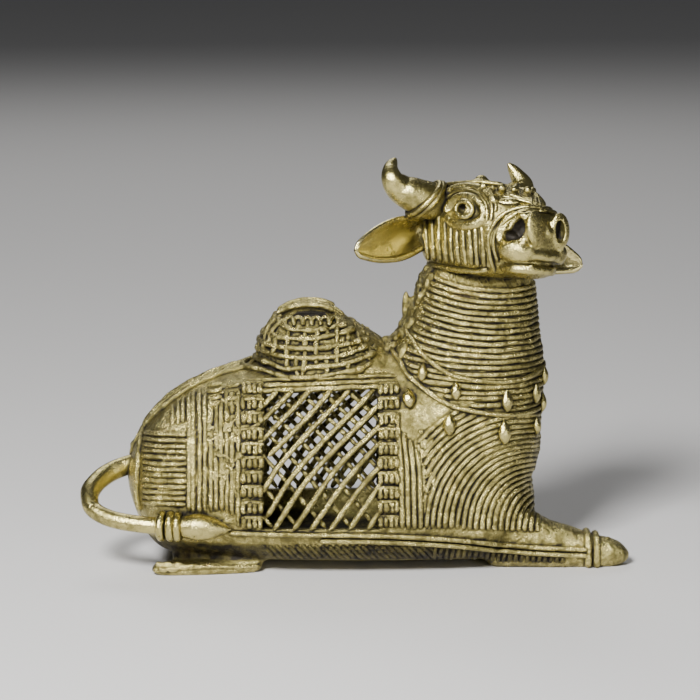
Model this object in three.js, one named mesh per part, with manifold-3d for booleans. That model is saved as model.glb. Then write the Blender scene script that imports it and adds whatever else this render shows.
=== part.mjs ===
// Reclining humped bull, cast in brass in one piece by the lost-wax method: a hollow trunk with an openwork
// lattice in each flank, a netted hump, a neck with two bell necklaces, and a head turned to its right.
// Millimetres, +Z up, +X towards the front hooves, origin at the middle of the footprint on the ground.
import * as THREE from "three";
import { mergeVertices } from "three/addons/utils/BufferGeometryUtils.js";
import Module from "manifold-3d";

const wasm = await Module();
wasm.setup();

// Driving sizes
const FIGURE_LENGTH = 120; // from the bend of the tail to the front hooves
const WALL = 2; // of the hollow trunk and neck
const ROD = 1.5; // lattice rods, across the corners of their section
const ROD_PITCH = 4.1; // along the flank
const ROD_SLOPE = 49; // degrees from level
const ROD_SET = 0.8; // how far a rod's ends run into the frame
const BAND_WIDTH = 4.2; // netted bands beside each lattice
const BAND_RISE = 1;
const BAND_ROWS = 7;
const NECK_RING_PITCH = 2.6;
const NECK_RING_DEPTH = 0.45;
const CORD = 1.3; // necklaces, harness and the paired cord along the flank
const BELL_LENGTH = 5.2;
const BELL_DIAMETER = 2.5;
const BELL_DROP = 3.2; // from the cord to the bell's middle
const BELLS_PER_NECKLACE = 7;
const TAIL = 3.3; // diameter of the tail's rod
const TAIL_RINGS = 3;
const ANKLET_WIDTH = 2.4;
const ANKLET_RISE = 0.55;
const HORN = 8.2; // diameter at the root
const HORN_WRAP = 0.7; // rise of the cord wound round the root
const HARNESS_RISE = 0.5; // noseband and brow band
const EAR_LENGTH = 21;
const EAR_WIDTH = 9;
const HEAD_TURN = 52; // degrees to the figure's right
const HEAD_TILT = 8; // degrees, its left side low
const FOOT_SINK = 0.4; // how far rounded forms are cut off flat by the ground

// The free form is drawn on a figure this long, and every outline below is a share of it.
const DRAWN_LENGTH = 120;
const SHARE = FIGURE_LENGTH / DRAWN_LENGTH;
const FACE_ORDER = [0, 2, 1];
const AHEAD = new THREE.Vector3(1, 0, 0);
const UP = new THREE.Vector3(0, 0, 1);

// A smooth value along a line, through a few drawn [place, value] pairs.
function outline(pairs) {
  const slope = (i) => {
    const [a, b] = [pairs[Math.max(i - 1, 0)], pairs[Math.min(i + 1, pairs.length - 1)]];
    return (b[1] - a[1]) / (b[0] - a[0]);
  };
  return (place) => {
    const s = THREE.MathUtils.clamp(place / SHARE, pairs[0][0], pairs.at(-1)[0]);
    const i = Math.max(0, pairs.findLastIndex(([p], n) => p <= s && n < pairs.length - 1));
    const [[p0, v0], [p1, v1]] = [pairs[i], pairs[i + 1]];
    const [gap, u] = [p1 - p0, (s - p0) / (p1 - p0)];
    const bend = u * (1 - u) * gap;
    const eased = u * u * (3 - 2 * u);
    return SHARE * (v0 + (v1 - v0) * eased + bend * ((1 - u) * slope(i) - u * slope(i + 1)));
  };
}

const drawn = (x, y, z) => new THREE.Vector3(x, y, z).multiplyScalar(SHARE);
const path = (...points) => new THREE.CatmullRomCurve3(points.map((p) => drawn(...p)));

// A closed three.js geometry as a solid that faces out.
function solid(geometry) {
  const bare = geometry.clone();
  bare.deleteAttribute("normal");
  bare.deleteAttribute("uv");
  const merged = mergeVertices(bare, 1e-4);
  const mesh = (order) => {
    const corners = merged.index.array;
    const triVerts = Uint32Array.from(corners, (_, i) => corners[i - (i % 3) + order[i % 3]]);
    return new wasm.Mesh({ numProp: 3, vertProperties: merged.attributes.position.array, triVerts });
  };
  const made = new wasm.Manifold(mesh([0, 1, 2]));
  return made.volume() < 0 ? new wasm.Manifold(mesh(FACE_ORDER)) : made;
}

const joined = (...solids) => solids.flat().reduce((whole, piece) => whole.add(piece));

// Moves each vertex of a geometry to place(u, v, vertex), with u and v from its uv map.
function warped(geometry, place) {
  const { position, uv } = geometry.attributes;
  const vertex = new THREE.Vector3();
  for (let i = 0; i < position.count; i++) {
    vertex.fromBufferAttribute(position, i);
    position.setXYZ(i, ...place(uv.getX(i), uv.getY(i), vertex));
  }
  return solid(geometry);
}

// A closed rounded form: place(station, angle) gives the skin, which closes to a point at both end stations.
function form(stations, sides, place) {
  return warped(new THREE.SphereGeometry(1, sides, stations.length - 1), (u, v, vertex) => {
    const row = Math.round((1 - v) * (stations.length - 1));
    return place(stations[row], Math.atan2(vertex.z, -vertex.x));
  });
}

// Stations from one end to the other, closer together towards both ends.
function eased(from, to, steps) {
  return Array.from({ length: steps + 1 }, (_, i) => {
    return THREE.MathUtils.lerp(from, to, (1 - Math.cos((i / steps) * Math.PI)) / 2);
  });
}

// A closed ring of round section: centre(angle) is its line, out(angle) points away from what it lies on.
function ring(aroundSteps, sides, radius, centre, out) {
  return warped(new THREE.TorusGeometry(1, 0.5, sides, aroundSteps), (u, v) => {
    const [turn, roll] = [u * 2 * Math.PI, v * 2 * Math.PI];
    const [middle, outward] = [centre(turn), out(turn)];
    const ahead = centre(turn + 0.01).sub(centre(turn - 0.01)).normalize();
    const across = new THREE.Vector3().crossVectors(ahead, outward).normalize();
    middle.addScaledVector(outward, radius * Math.cos(roll));
    return middle.addScaledVector(across, radius * Math.sin(roll));
  });
}

// A round limb along a curve: profile lists [share of the curve, radius], with no radius at either end.
function turned(curve, sides, profile, up) {
  return form(profile, sides, ([t, r], angle) => {
    const ahead = curve.getTangentAt(t);
    const side = new THREE.Vector3().crossVectors(up, ahead).normalize();
    const over = new THREE.Vector3().crossVectors(ahead, side);
    const middle = curve.getPointAt(t);
    return middle.addScaledVector(side, r * Math.cos(angle)).addScaledVector(over, r * Math.sin(angle));
  });
}

// A rod of even section along a curve.
function rod(curve, diameter, steps, sides) {
  const corners = Array.from({ length: sides }, (_, i) => {
    const turn = ((i + 0.5) / sides) * 2 * Math.PI;
    return new THREE.Vector2(Math.cos(turn), Math.sin(turn)).multiplyScalar(diameter / 2);
  });
  return solid(new THREE.ExtrudeGeometry(new THREE.Shape(corners), { steps, extrudePath: curve }));
}

// A low strip on a surface: place(across, along, rise), the first two from -0.5 to 0.5, and rise 0 or 1.
function strip(acrossSteps, alongSteps, place) {
  const slab = new THREE.BoxGeometry(1, 1, 1, acrossSteps, alongSteps, 1);
  return warped(slab, (u, v, corner) => place(corner.x, corner.y, corner.z + 0.5));
}

const rounded = (value, power) => Math.sign(value) * Math.abs(value) ** (2 / power);

// Trunk: level sections along X, widest low down, rounded off at the rump and the chest.
const TRUNK = {
  rear: -50.4 * SHARE,
  front: 38.6 * SHARE,
  rearRound: 9 * SHARE,
  frontRound: 12 * SHARE,
  top: outline([
    [-50.4, 28], [-47, 31.2], [-43, 34], [-38, 37.6], [-30, 41.2],
    [-22, 43.4], [0, 45.4], [14, 43.6], [24, 38], [40, 30],
  ]),
  bottom: outline([[-50.4, 9], [-46, 4.6], [-40, 2.6], [-20, 1.3], [30, 1], [40, 1]]),
  half: outline([
    [-50.4, 12.5], [-44, 15.2], [-36, 18], [-24, 19.9], [-8, 20.6],
    [8, 20], [20, 18], [30, 15.6], [40, 13],
  ]),
  waist: outline([[-50.4, 19], [-36, 16.5], [-20, 14.5], [10, 13.5], [30, 11], [40, 9]]),
  upperPower: 2.45,
  lowerPower: 3.2,
};

function endRounding(form, x, inset) {
  const tail = 1 - (x - form.rear - inset) / form.rearRound;
  const nose = 1 - (form.front - inset - x) / form.frontRound;
  return Math.sqrt(Math.max(0, 1 - Math.max(0, tail, nose) ** 2));
}

function sectionPoint(x, angle, inset) {
  const [top, bottom] = [TRUNK.top(x) - inset, TRUNK.bottom(x) + inset];
  const [waist, half] = [TRUNK.waist(x), TRUNK.half(x) - inset];
  const power = Math.sin(angle) > 0 ? TRUNK.upperPower : TRUNK.lowerPower;
  const shrink = endRounding(TRUNK, x, inset);
  const reach = Math.sin(angle) > 0 ? top - waist : waist - bottom;
  return new THREE.Vector3(
    x,
    half * shrink * rounded(Math.cos(angle), power),
    waist + reach * shrink * rounded(Math.sin(angle), power),
  );
}

function trunk(steps, sides, inset) {
  const stations = eased(TRUNK.rear + inset, TRUNK.front - inset, steps);
  return form(stations, sides, (x, angle) => sectionPoint(x, angle, inset));
}

// How far the flank stands out from the middle plane at a place on it.
function flank(x, z) {
  const [waist, above] = [TRUNK.waist(x), z > TRUNK.waist(x)];
  const power = above ? TRUNK.upperPower : TRUNK.lowerPower;
  const share = Math.min(1, Math.abs((z - waist) / ((above ? TRUNK.top(x) : TRUNK.bottom(x)) - waist)));
  return TRUNK.half(x) * endRounding(TRUNK, x, 0) * (1 - share ** power) ** (1 / power);
}

// Neck and chest: level oval sections, stacked from the ground up into the head.
const NECK = {
  foot: 3 * SHARE,
  top: 70 * SHARE,
  front: outline([
    [3, 35], [13, 37], [17, 37.6], [23, 39.8], [32, 40.2], [41, 41.1], [52, 39.6], [61, 38.8], [70, 38],
  ]),
  back: outline([[3, 0], [36, 2], [45, 5], [50, 9], [54, 11.2], [58, 12.4], [63, 14.4], [70, 17]]),
  half: outline([[3, 14], [20, 17], [30, 17], [40, 15.4], [49, 13.2], [58, 11.2], [70, 10]]),
  power: 2.1,
  endRound: 9 * SHARE,
  ringsFrom: 44.5 * SHARE,
  ringsTo: 62 * SHARE,
};

function neckPoint(z, angle, inset, sunk = 0) {
  const middle = (NECK.front(z) + NECK.back(z)) / 2;
  const long = (NECK.front(z) - NECK.back(z)) / 2 - inset - sunk;
  const near = Math.min(z - NECK.foot - inset, NECK.top - inset - z);
  const shrink = Math.sqrt(Math.max(0, 1 - Math.max(0, 1 - near / NECK.endRound) ** 2));
  const [c, s] = [rounded(Math.cos(angle), NECK.power), rounded(Math.sin(angle), NECK.power)];
  return new THREE.Vector3(middle + long * shrink * c, (NECK.half(z) - inset - sunk) * shrink * s, z);
}

// The threads wound round the neck stand out as rings between the upper necklace and the jaw.
function ringedNeck() {
  const { foot, top, ringsFrom, ringsTo } = NECK;
  const bare = eased(foot, ringsFrom, 6).slice(0, -1).map((z) => [z, 0]);
  const count = Math.floor((ringsTo - ringsFrom) / (NECK_RING_PITCH / 2));
  const rings = Array.from({ length: count }, (_, i) => {
    return [ringsFrom + (i * NECK_RING_PITCH) / 2, i % 2 ? 0 : NECK_RING_DEPTH];
  });
  const nape = eased(ringsTo, top, 6).slice(2).map((z) => [z, 0]);
  return form([...bare, ...rings, ...nape], 14, ([z, sunk], angle) => neckPoint(z, angle, 0, sunk));
}

function neckCore() {
  return form(eased(NECK.foot + WALL, NECK.top - WALL, 6), 8, (z, angle) => neckPoint(z, angle, WALL));
}

// Hump with its netted cap: pits sunk between raised rows and columns.
const HUMP = {
  foot: 40 * SHARE,
  top: 57.8 * SHARE,
  back: outline([[40, -23], [46, -22.6], [50, -21.6], [54, -18.8], [56.4, -15.4], [57.8, -10.6]]),
  front: outline([[40, 11], [46, 9], [50, 4.6], [53, -0.4], [56.4, -5.6], [57.8, -10.6]]),
  half: outline([[40, 14], [46, 12.4], [50, 11], [54, 7.8], [56.4, 4], [57.8, 0]]),
  netDepth: 0.8,
  rows: 10,
  columns: 18,
};

function hump() {
  const levels = Array.from({ length: HUMP.rows }, (_, i) => {
    return THREE.MathUtils.lerp(HUMP.top, HUMP.foot, 1 - Math.cos((i / (HUMP.rows - 1)) * (Math.PI / 2)));
  });
  return form([...levels.keys(), HUMP.rows], HUMP.columns, (row, angle) => {
    const closing = row === HUMP.rows ? 0 : 1;
    const z = levels[Math.min(row, HUMP.rows - 1)];
    const column = Math.round((angle / (2 * Math.PI)) * HUMP.columns);
    const pit = row % 2 && column % 2 && row > 1 ? HUMP.netDepth : 0;
    const [back, front] = [HUMP.back(z), HUMP.front(z)];
    const long = closing * ((front - back) / 2 - pit);
    const wide = closing * (HUMP.half(z) - pit);
    return new THREE.Vector3((front + back) / 2 + long * Math.cos(angle), wide * Math.sin(angle), z);
  });
}

// Front legs: the right one stretched forward, with an anklet and a pointed hoof, the left one folded.
const LEG = {
  rear: 26 * SHARE,
  front: 59.4 * SHARE,
  rearRound: 4 * SHARE,
  frontRound: 3.4 * SHARE,
  middle: -7.6 * SHARE,
  half: outline([[26, 5.6], [40, 5.2], [49, 4.5], [51.5, 4.2], [55, 3.8], [59.4, 2.4]]),
  top: outline([
    [26, 15], [34, 13], [38, 11], [41, 9.9], [44, 9],
    [47, 8.1], [50.4, 6.8], [53, 5.9], [56.5, 4.9], [59.4, 3],
  ]),
  power: 2.7,
  anklet: 50.6 * SHARE,
};
const FOLDED_LEG = {
  rear: 22 * SHARE,
  front: 45.4 * SHARE,
  rearRound: 4 * SHARE,
  frontRound: 4.6 * SHARE,
  middle: 9.4 * SHARE,
  half: outline([[22, 4.6], [34, 5.4], [45.4, 4.6]]),
  top: outline([[22, 6.8], [34, 7.4], [40, 6.8], [45.4, 5.4]]),
  power: 2.5,
};

function legPoint(form, x, angle, grow) {
  const shrink = endRounding(form, x, 0);
  const [top, half] = [form.top(x) + grow, form.half(x) + grow];
  const [middle, reach] = [(top - FOOT_SINK) / 2, (top + FOOT_SINK) / 2];
  return new THREE.Vector3(
    x,
    form.middle + half * shrink * rounded(Math.cos(angle), form.power),
    middle + reach * shrink * rounded(Math.sin(angle), form.power),
  );
}

function stretchedLeg() {
  const ankle = [LEG.anklet - ANKLET_WIDTH / 2, LEG.anklet + ANKLET_WIDTH / 2];
  const shaft = eased(LEG.rear, ankle[0], 6).slice(0, -2).map((x) => [x, 0]);
  const [lip, [from, to]] = [ANKLET_RISE / 2, ankle];
  const bound = [[from - lip, 0], [from, 1], [to, 1], [to + lip, 0]];
  const hoof = eased(ankle[1], LEG.front, 5).slice(2).map((x) => [x, 0]);
  const stations = [...shaft, ...bound, ...hoof];
  return form(stations, 8, ([x, raised], angle) => legPoint(LEG, x, angle, raised * ANKLET_RISE));
}

function foldedLeg() {
  const { rear, front } = FOLDED_LEG;
  return form(eased(rear, front, 7), 8, (x, angle) => legPoint(FOLDED_LEG, x, angle, 0));
}

// Hind foot: a flat bar on the ground, and above it the folded shank that carries the belly.
const HIND = { hock: [-44.2, 16.4], toe: [-20.5, 13.4], width: 6, height: 2.7 };
const SHANK = { hock: [-40, 11], toe: [-24, 9], width: 6.5, height: 7.4 };

function restingBar({ hock, toe, width, height }, side) {
  const [rear, front] = [hock, toe].map(([x, y]) => drawn(x, side * y, 0));
  return form(eased(0, 1, 5), 6, (t, angle) => {
    const fade = Math.sqrt(4 * t * (1 - t)) ** 0.35;
    const middle = new THREE.Vector3().lerpVectors(rear, front, t);
    const across = (SHARE * width * fade * rounded(Math.cos(angle), 3)) / 2;
    const rise = SHARE * height;
    const z = (rise - FOOT_SINK) / 2 + ((rise + FOOT_SINK) / 2) * fade * rounded(Math.sin(angle), 3);
    return middle.add(new THREE.Vector3(0, across, z));
  });
}

const hindFoot = (side) => joined(restingBar(HIND, side), restingBar(SHANK, side));

// Lattice: two crossed layers of rods set in a window through each flank.
const WINDOW = { rear: -20.4 * SHARE, front: 4.7 * SHARE, sill: 10.6 * SHARE, head: 40.2 * SHARE };

function window() {
  const [long, high] = [WINDOW.front - WINDOW.rear, WINDOW.head - WINDOW.sill];
  const cut = new THREE.BoxGeometry(long, FIGURE_LENGTH, high);
  cut.translate((WINDOW.rear + WINDOW.front) / 2, 0, (WINDOW.sill + WINDOW.head) / 2);
  return solid(cut);
}

function lattice(side) {
  const run = (WINDOW.head - WINDOW.sill) / Math.tan(THREE.MathUtils.degToRad(ROD_SLOPE));
  const count = Math.floor((WINDOW.front - WINDOW.rear + run) / ROD_PITCH);
  const rods = [];
  for (const [lean, depth] of [[1, 0.35 * ROD], [-1, 1.2 * ROD]]) {
    for (let n = 0; n < count; n++) {
      const low = lean > 0 ? WINDOW.rear - run : WINDOW.rear;
      const foot = low + (n + 0.5) * ROD_PITCH;
      const xAt = (z) => foot + (lean * run * (z - WINDOW.sill)) / (WINDOW.head - WINDOW.sill);
      const zAt = (x) => WINDOW.sill + (lean * (x - foot) * (WINDOW.head - WINDOW.sill)) / run;
      const ends = [zAt(WINDOW.rear), zAt(WINDOW.front)].sort((a, b) => a - b);
      const [from, to] = [Math.max(WINDOW.sill, ends[0]) - ROD_SET, Math.min(WINDOW.head, ends[1]) + ROD_SET];
      const bend = Array.from({ length: 3 }, (_, i) => {
        const z = from + ((to - from) * i) / 2;
        return new THREE.Vector3(xAt(z), side * (flank(xAt(z), z) - depth), z);
      });
      rods.push(rod(new THREE.CatmullRomCurve3(bend), ROD, 2, 3));
    }
  }
  return rods;
}

// Netted band up the flank beside the window, its rows alternately raised and sunk.
function band(side, edge, outward) {
  return strip(1, BAND_ROWS * 2, (across, along, rise) => {
    const z = THREE.MathUtils.lerp(WINDOW.sill - CORD, WINDOW.head + CORD, along + 0.5);
    const x = edge + outward * BAND_WIDTH * (across + 0.5);
    const row = Math.round((along + 0.5) * BAND_ROWS * 2);
    const lift = rise ? BAND_RISE * (row % 2 ? 1 : 0.35) : -WALL / 2;
    return new THREE.Vector3(x, side * (flank(x, z) + lift), z);
  });
}

// Paired cord that runs from the tassel along the foot of the flank to the anklet.
const HEM = {
  rear: -31 * SHARE,
  front: { right: 50 * SHARE, left: 40 * SHARE },
  height: outline([[-31, 9.2], [0, 9], [18, 8.2], [32, 6.4], [40, 5.6], [50, 5.4]]),
  half: outline([
    [-31, 18.9], [-20, 20.1], [-8, 20.6], [8, 20], [20, 18.1], [30, 15.6], [36, 13.8], [43, 12.7], [50, 12.2],
  ]),
};

function hem(side) {
  return strip(4, 8, (across, along, rise) => {
    const x = THREE.MathUtils.lerp(HEM.rear, side < 0 ? HEM.front.right : HEM.front.left, along + 0.5);
    const crest = Math.round((across + 0.5) * 4) % 2;
    const lift = rise ? (crest ? 0.6 : 0.1) * CORD : -WALL;
    return new THREE.Vector3(x, side * (HEM.half(x) + lift), HEM.height(x) + across * 2 * CORD);
  });
}

// Necklaces: each hangs from the nape, lowest at the shoulders, with bells spaced along it.
const NECKLACES = [
  { height: outline([[0, 44.5], [60, 41.5], [110, 43.5], [150, 50], [180, 54]]), lean: 0 },
  { height: outline([[0, 38.5], [60, 34.5], [110, 37.5], [150, 45], [180, 49]]), lean: 0.5 },
];

function onNeck(turn, height) {
  const folded = Math.abs(THREE.MathUtils.euclideanModulo(turn + Math.PI, 2 * Math.PI) - Math.PI);
  return neckPoint(height(SHARE * THREE.MathUtils.radToDeg(folded)), turn, 0);
}

function necklace({ height, lean }) {
  const away = (turn) => new THREE.Vector3(Math.cos(turn), Math.sin(turn), 0);
  const cord = ring(15, 3, CORD / 2, (turn) => onNeck(turn, height), away);
  const bells = Array.from({ length: BELLS_PER_NECKLACE }, (_, n) => {
    const turn = ((n + lean) / BELLS_PER_NECKLACE) * 2 * Math.PI;
    const hang = onNeck(turn, (angle) => height(angle) - BELL_DROP);
    const [middle, tip] = [hang.addScaledVector(away(turn), BELL_DIAMETER * 0.1), BELL_LENGTH / 2];
    return form([-1, -0.5, 0.5, 1], 4, (share, angle) => {
      const swell = (BELL_DIAMETER / 2) * Math.sqrt(Math.max(0, 1 - share ** 2)) * 1.1;
      return new THREE.Vector3(swell * Math.cos(angle), swell * Math.sin(angle), share * tip).add(middle);
    });
  });
  return [cord, ...bells];
}

// Tail: out of the rump, round a tight bend and forward along the flank to a bound tassel.
const TAIL_LINE = path([-45, -1, 21.5], [-51, -2, 20.2], [-56.5, -6.5, 17.2], [-58.6, -11.5, 14.2],
  [-55.5, -15.6, 12.4], [-48, -18.2, 11.8], [-41, -19.6, 11.4], [-34, -20.6, 11.3], [-26.5, -20.9, 10.8]);
const TAIL_RING_START = 0.69; // share of the tail's length
const TAIL_SHAFT_STATIONS = 11;

function tail() {
  const radius = TAIL / 2;
  const pitch = (CORD * 1.15) / TAIL_LINE.getLength();
  const shaft = Array.from({ length: TAIL_SHAFT_STATIONS }, (_, i) => {
    return [(TAIL_RING_START * i) / TAIL_SHAFT_STATIONS, i ? radius : 0];
  });
  const rings = Array.from({ length: TAIL_RINGS }, (_, n) => {
    const start = TAIL_RING_START + n * pitch;
    return [[start, radius * 1.15], [start + pitch / 2, radius * 1.85]];
  }).flat();
  const end = TAIL_RING_START + TAIL_RINGS * pitch;
  const tassel = [[0, 1.15], [0.3, 1.85], [0.6, 1.65], [0.85, 1], [1, 0]].map(([t, swell]) => {
    return [end + (1 - end) * t, swell * radius];
  });
  return turned(TAIL_LINE, 6, [...shaft, ...rings, ...tassel], UP);
}

// Head, drawn facing +X with its ears on the line x = 0, then turned.
const HEAD = {
  rear: -9 * SHARE,
  front: 25.4 * SHARE,
  rearRound: 6 * SHARE,
  frontRound: 4 * SHARE,
  top: outline([[-9, 79.6], [-4, 82], [2, 83.2], [8, 83], [13, 82], [18, 80.4], [22, 78.9], [25.4, 77.4]]),
  bottom: outline([[-9, 67], [-4, 64.9], [4, 64.6], [12, 65], [17, 65.4], [20.5, 64], [25.4, 64.4]]),
  half: outline([[-9, 8.2], [0, 9.6], [7, 10.1], [11, 9.8], [15, 8.2], [18, 7.3], [21.5, 7.7], [25.4, 7.3]]),
  power: 2.5,
  seat: drawn(24.6, 0, 74),
};

function headPoint(x, angle, grow = 0) {
  const shrink = endRounding(HEAD, x, 0);
  const [top, bottom] = [HEAD.top(x), HEAD.bottom(x)];
  return new THREE.Vector3(
    x,
    (HEAD.half(x) + grow) * shrink * rounded(Math.cos(angle), HEAD.power),
    (top + bottom) / 2 + ((top - bottom) / 2 + grow) * shrink * rounded(Math.sin(angle), HEAD.power),
  );
}

const FEATURES = {
  eye: [8.6, 9.5, 77.3],
  eyeRadius: 1.65,
  nostril: [24.2, 5, 75],
  nostrilSize: [2.4, 1.9, 2.2],
  mouth: [24.6, 0, 66.6],
  mouthSize: [11, 20, 0.9],
  horn: [
    [-1, 4.5, 77.4], [-2.2, 10.5, 77.8], [-3.9, 14.6, 78.8], [-5, 16.9, 79.8],
    [-5.3, 19, 81.6], [-6.9, 18.4, 83.8], [-7.9, 16.6, 85.9],
  ],
  harness: [[0.6, 3.2], [16.4, 19.2]],
  earRoot: [-4.5, 7.2, 71.4],
  earDroop: 15,
  leftEar: { sweep: 38, droop: 18, reach: 1.1 },
};

function horn(side) {
  const curve = path(...FEATURES.horn.map(([x, y, z]) => [x, side * y, z]));
  const taper = (t) => (HORN / 2) * (1 - 0.78 * t ** 2.4);
  const stations = [0.02, 0.2, 0.3, 0.42, 0.56, 0.7, 0.84, 0.95].map((t) => [t, taper(t)]);
  const wraps = [0.21, 0.29].map((t) => [t, taper(t) + HORN_WRAP]);
  const profile = [[0, 0], ...stations, ...wraps, [1, 0]].sort(([a], [b]) => a - b);
  return turned(curve, 7, profile, AHEAD);
}

// Ear: a pointed leaf, hollowed on its front face. The left one points further forward and down.
function ear(side) {
  const right = { sweep: 0, droop: FEATURES.earDroop, reach: 1 };
  const { sweep, droop, reach } = side > 0 ? FEATURES.leftEar : right;
  const leaf = (grow, shift) => form(eased(0, 1, 6), 6, (t, angle) => {
    const spread = (Math.sin(Math.PI * t ** 0.8) ** 0.75 * EAR_WIDTH) / 2;
    const thick = spread * 0.42 * (1 - 2 * grow);
    const y = side * (EAR_LENGTH * reach * (t * (1 - 2 * grow) + grow));
    return new THREE.Vector3(shift + thick * Math.cos(angle), y, spread * (1 - grow * 2.4) * Math.sin(angle));
  });
  const hollowed = leaf(0, 0).subtract(leaf(0.09, EAR_WIDTH * 0.2));
  const [x, y, z] = drawn(...FEATURES.earRoot);
  return hollowed.rotate([-side * droop, 0, -sweep]).translate([x, side * y, z]);
}

function face(side) {
  const [x, y, z] = drawn(...FEATURES.eye);
  const eye = new THREE.TorusGeometry(FEATURES.eyeRadius * SHARE, CORD / 2, 4, 9);
  eye.rotateX(Math.PI / 2).rotateZ(-side * 0.3);
  return solid(eye.translate(x, side * y, z));
}

function nostril(side) {
  const [x, y, z] = drawn(...FEATURES.nostril);
  const pit = new THREE.SphereGeometry(1, 6, 5);
  pit.scale(...FEATURES.nostrilSize.map((size) => size * SHARE));
  return solid(pit.translate(x, side * y, z));
}

function head() {
  const lip = HARNESS_RISE / 2;
  const harness = FEATURES.harness.flatMap(([from, to]) => {
    return [[from, 0], [from + lip, 1], [to - lip, 1], [to, 0]];
  });
  const bare = [-9, -8, -5, -1.5, 5.5, 9, 12.5, 14.8, 21.5, 23.6, 24.9, 25.4].map((x) => [x, 0]);
  const stations = [...bare, ...harness].sort(([a], [b]) => a - b);
  const skull = form(stations, 12, ([x, raised], angle) => {
    return headPoint(x * SHARE, angle, raised * HARNESS_RISE);
  });
  const slit = new THREE.BoxGeometry(...FEATURES.mouthSize.map((size) => size * SHARE));
  slit.translate(...drawn(...FEATURES.mouth));
  const parts = [1, -1].flatMap((side) => [horn(side), ear(side), face(side)]);
  const carved = joined(skull, parts)
    .subtract(nostril(1)).subtract(nostril(-1)).subtract(solid(slit));
  const level = HEAD.seat.z;
  return carved.translate([0, 0, -level]).rotate([-HEAD_TILT, 0, -HEAD_TURN]).translate([...HEAD.seat]);
}

function bull() {
  const skin = joined(trunk(13, 18, 0), ringedNeck(), hump());
  const core = joined(trunk(8, 10, WALL), neckCore());
  const sides = [1, -1].flatMap((side) => [
    hindFoot(side),
    hem(side),
    band(side, WINDOW.rear, -1),
    band(side, WINDOW.front, 1),
    ...lattice(side),
  ]);
  const hollow = skin.subtract(core).subtract(window());
  const legs = [stretchedLeg(), foldedLeg()];
  const whole = joined(hollow, sides, legs, NECKLACES.flatMap(necklace), tail(), head());
  const ground = new THREE.BoxGeometry(2 * FIGURE_LENGTH, 2 * FIGURE_LENGTH, FIGURE_LENGTH);
  return whole.subtract(solid(ground.translate(0, 0, -FIGURE_LENGTH / 2)));
}

// The solid as a three.js geometry, moved so that the footprint's middle is at the origin.
function centred(made) {
  const { min, max } = made.boundingBox();
  const mesh = made.translate([-(min[0] + max[0]) / 2, -(min[1] + max[1]) / 2, 0]).getMesh();
  const geometry = new THREE.BufferGeometry();
  geometry.setAttribute("position", new THREE.BufferAttribute(mesh.vertProperties, 3));
  geometry.setIndex(new THREE.BufferAttribute(mesh.triVerts, 1));
  geometry.computeVertexNormals();
  return geometry;
}

const brass = new THREE.MeshStandardMaterial({ color: 0xb5a468, roughness: 0.42, metalness: 1 });
const figure = new THREE.Group();
const casting = new THREE.Mesh(centred(bull()), brass);
casting.name = "nandi_bull";
figure.add(casting);

export default figure;
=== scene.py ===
import math
import random

import bmesh
import bpy
from mathutils import Matrix, Vector, noise
from mathutils.bvhtree import BVHTree


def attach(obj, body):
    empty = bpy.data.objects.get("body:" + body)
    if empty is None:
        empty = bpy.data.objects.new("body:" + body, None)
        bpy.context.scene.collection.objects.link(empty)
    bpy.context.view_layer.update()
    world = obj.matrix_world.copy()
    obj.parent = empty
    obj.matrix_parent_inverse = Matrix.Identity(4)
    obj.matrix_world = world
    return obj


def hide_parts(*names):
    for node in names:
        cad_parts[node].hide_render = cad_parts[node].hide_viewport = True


bl_info = {
    "name": "Nandi bull figure",
    "version": (1, 0, 0),
    "blender": (4, 5, 0),
    "location": "View3D > Sidebar > Nandi bull",
    "description": "Builds the skin, threads and ornaments of a cast brass bull around its solid",
    "category": "Object",
}

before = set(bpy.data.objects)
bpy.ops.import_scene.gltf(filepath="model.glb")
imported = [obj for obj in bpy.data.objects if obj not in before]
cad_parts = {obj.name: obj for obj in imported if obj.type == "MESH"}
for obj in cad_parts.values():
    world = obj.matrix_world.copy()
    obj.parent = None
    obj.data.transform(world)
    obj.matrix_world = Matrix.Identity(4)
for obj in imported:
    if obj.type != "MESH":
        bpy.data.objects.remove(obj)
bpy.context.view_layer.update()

# The figure is drawn in millimetres, and this puts a drawn point where the solid is.
TO_FRAME = Matrix.Scale(0.001, 4) @ Matrix.Translation((0.32, 1.07, 0))
UP = Vector((0, 0, 1))
AHEAD = Vector((1, 0, 0))
RIGHT, LEFT = -1, 1

# The photograph's view: where the camera stands, in drawn millimetres.
VIEW_TARGET = Vector((-1.63, -1.07, 46.14))
VIEW_DISTANCE = 600
VIEW_ELEVATION = math.radians(10)
VIEW_SCALE = 4.6  # pixels to a millimetre at the figure
VIEW_CENTRE = 350
VIEW_BACK = Vector((0, -math.cos(VIEW_ELEVATION), math.sin(VIEW_ELEVATION)))
VIEW_UP = Vector((0, math.sin(VIEW_ELEVATION), math.cos(VIEW_ELEVATION)))
SENSOR = 36

shared = {"pieces": []}  # the skins that later pieces lie on, and drawn pieces that wait for patina and painted shade


# Drawn forms


def outline(*pairs):
    """A smooth value along a line, through a few drawn (place, value) pairs."""

    def slope(i):
        a, b = pairs[max(i - 1, 0)], pairs[min(i + 1, len(pairs) - 1)]
        return (b[1] - a[1]) / (b[0] - a[0])

    def value(place):
        s = min(max(place, pairs[0][0]), pairs[-1][0])
        i = max(n for n in range(len(pairs) - 1) if n == 0 or pairs[n][0] <= s)
        (p0, v0), (p1, v1) = pairs[i], pairs[i + 1]
        gap, u = p1 - p0, (s - p0) / (p1 - p0)
        bend = u * (1 - u) * gap
        return v0 + (v1 - v0) * u * u * (3 - 2 * u) + bend * ((1 - u) * slope(i) - u * slope(i + 1))

    return value


def eased(start, end, steps):
    """Stations from one end to the other, closer together towards both ends."""
    return [start + (end - start) * (1 - math.cos(i / steps * math.pi)) / 2 for i in range(steps + 1)]


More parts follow.
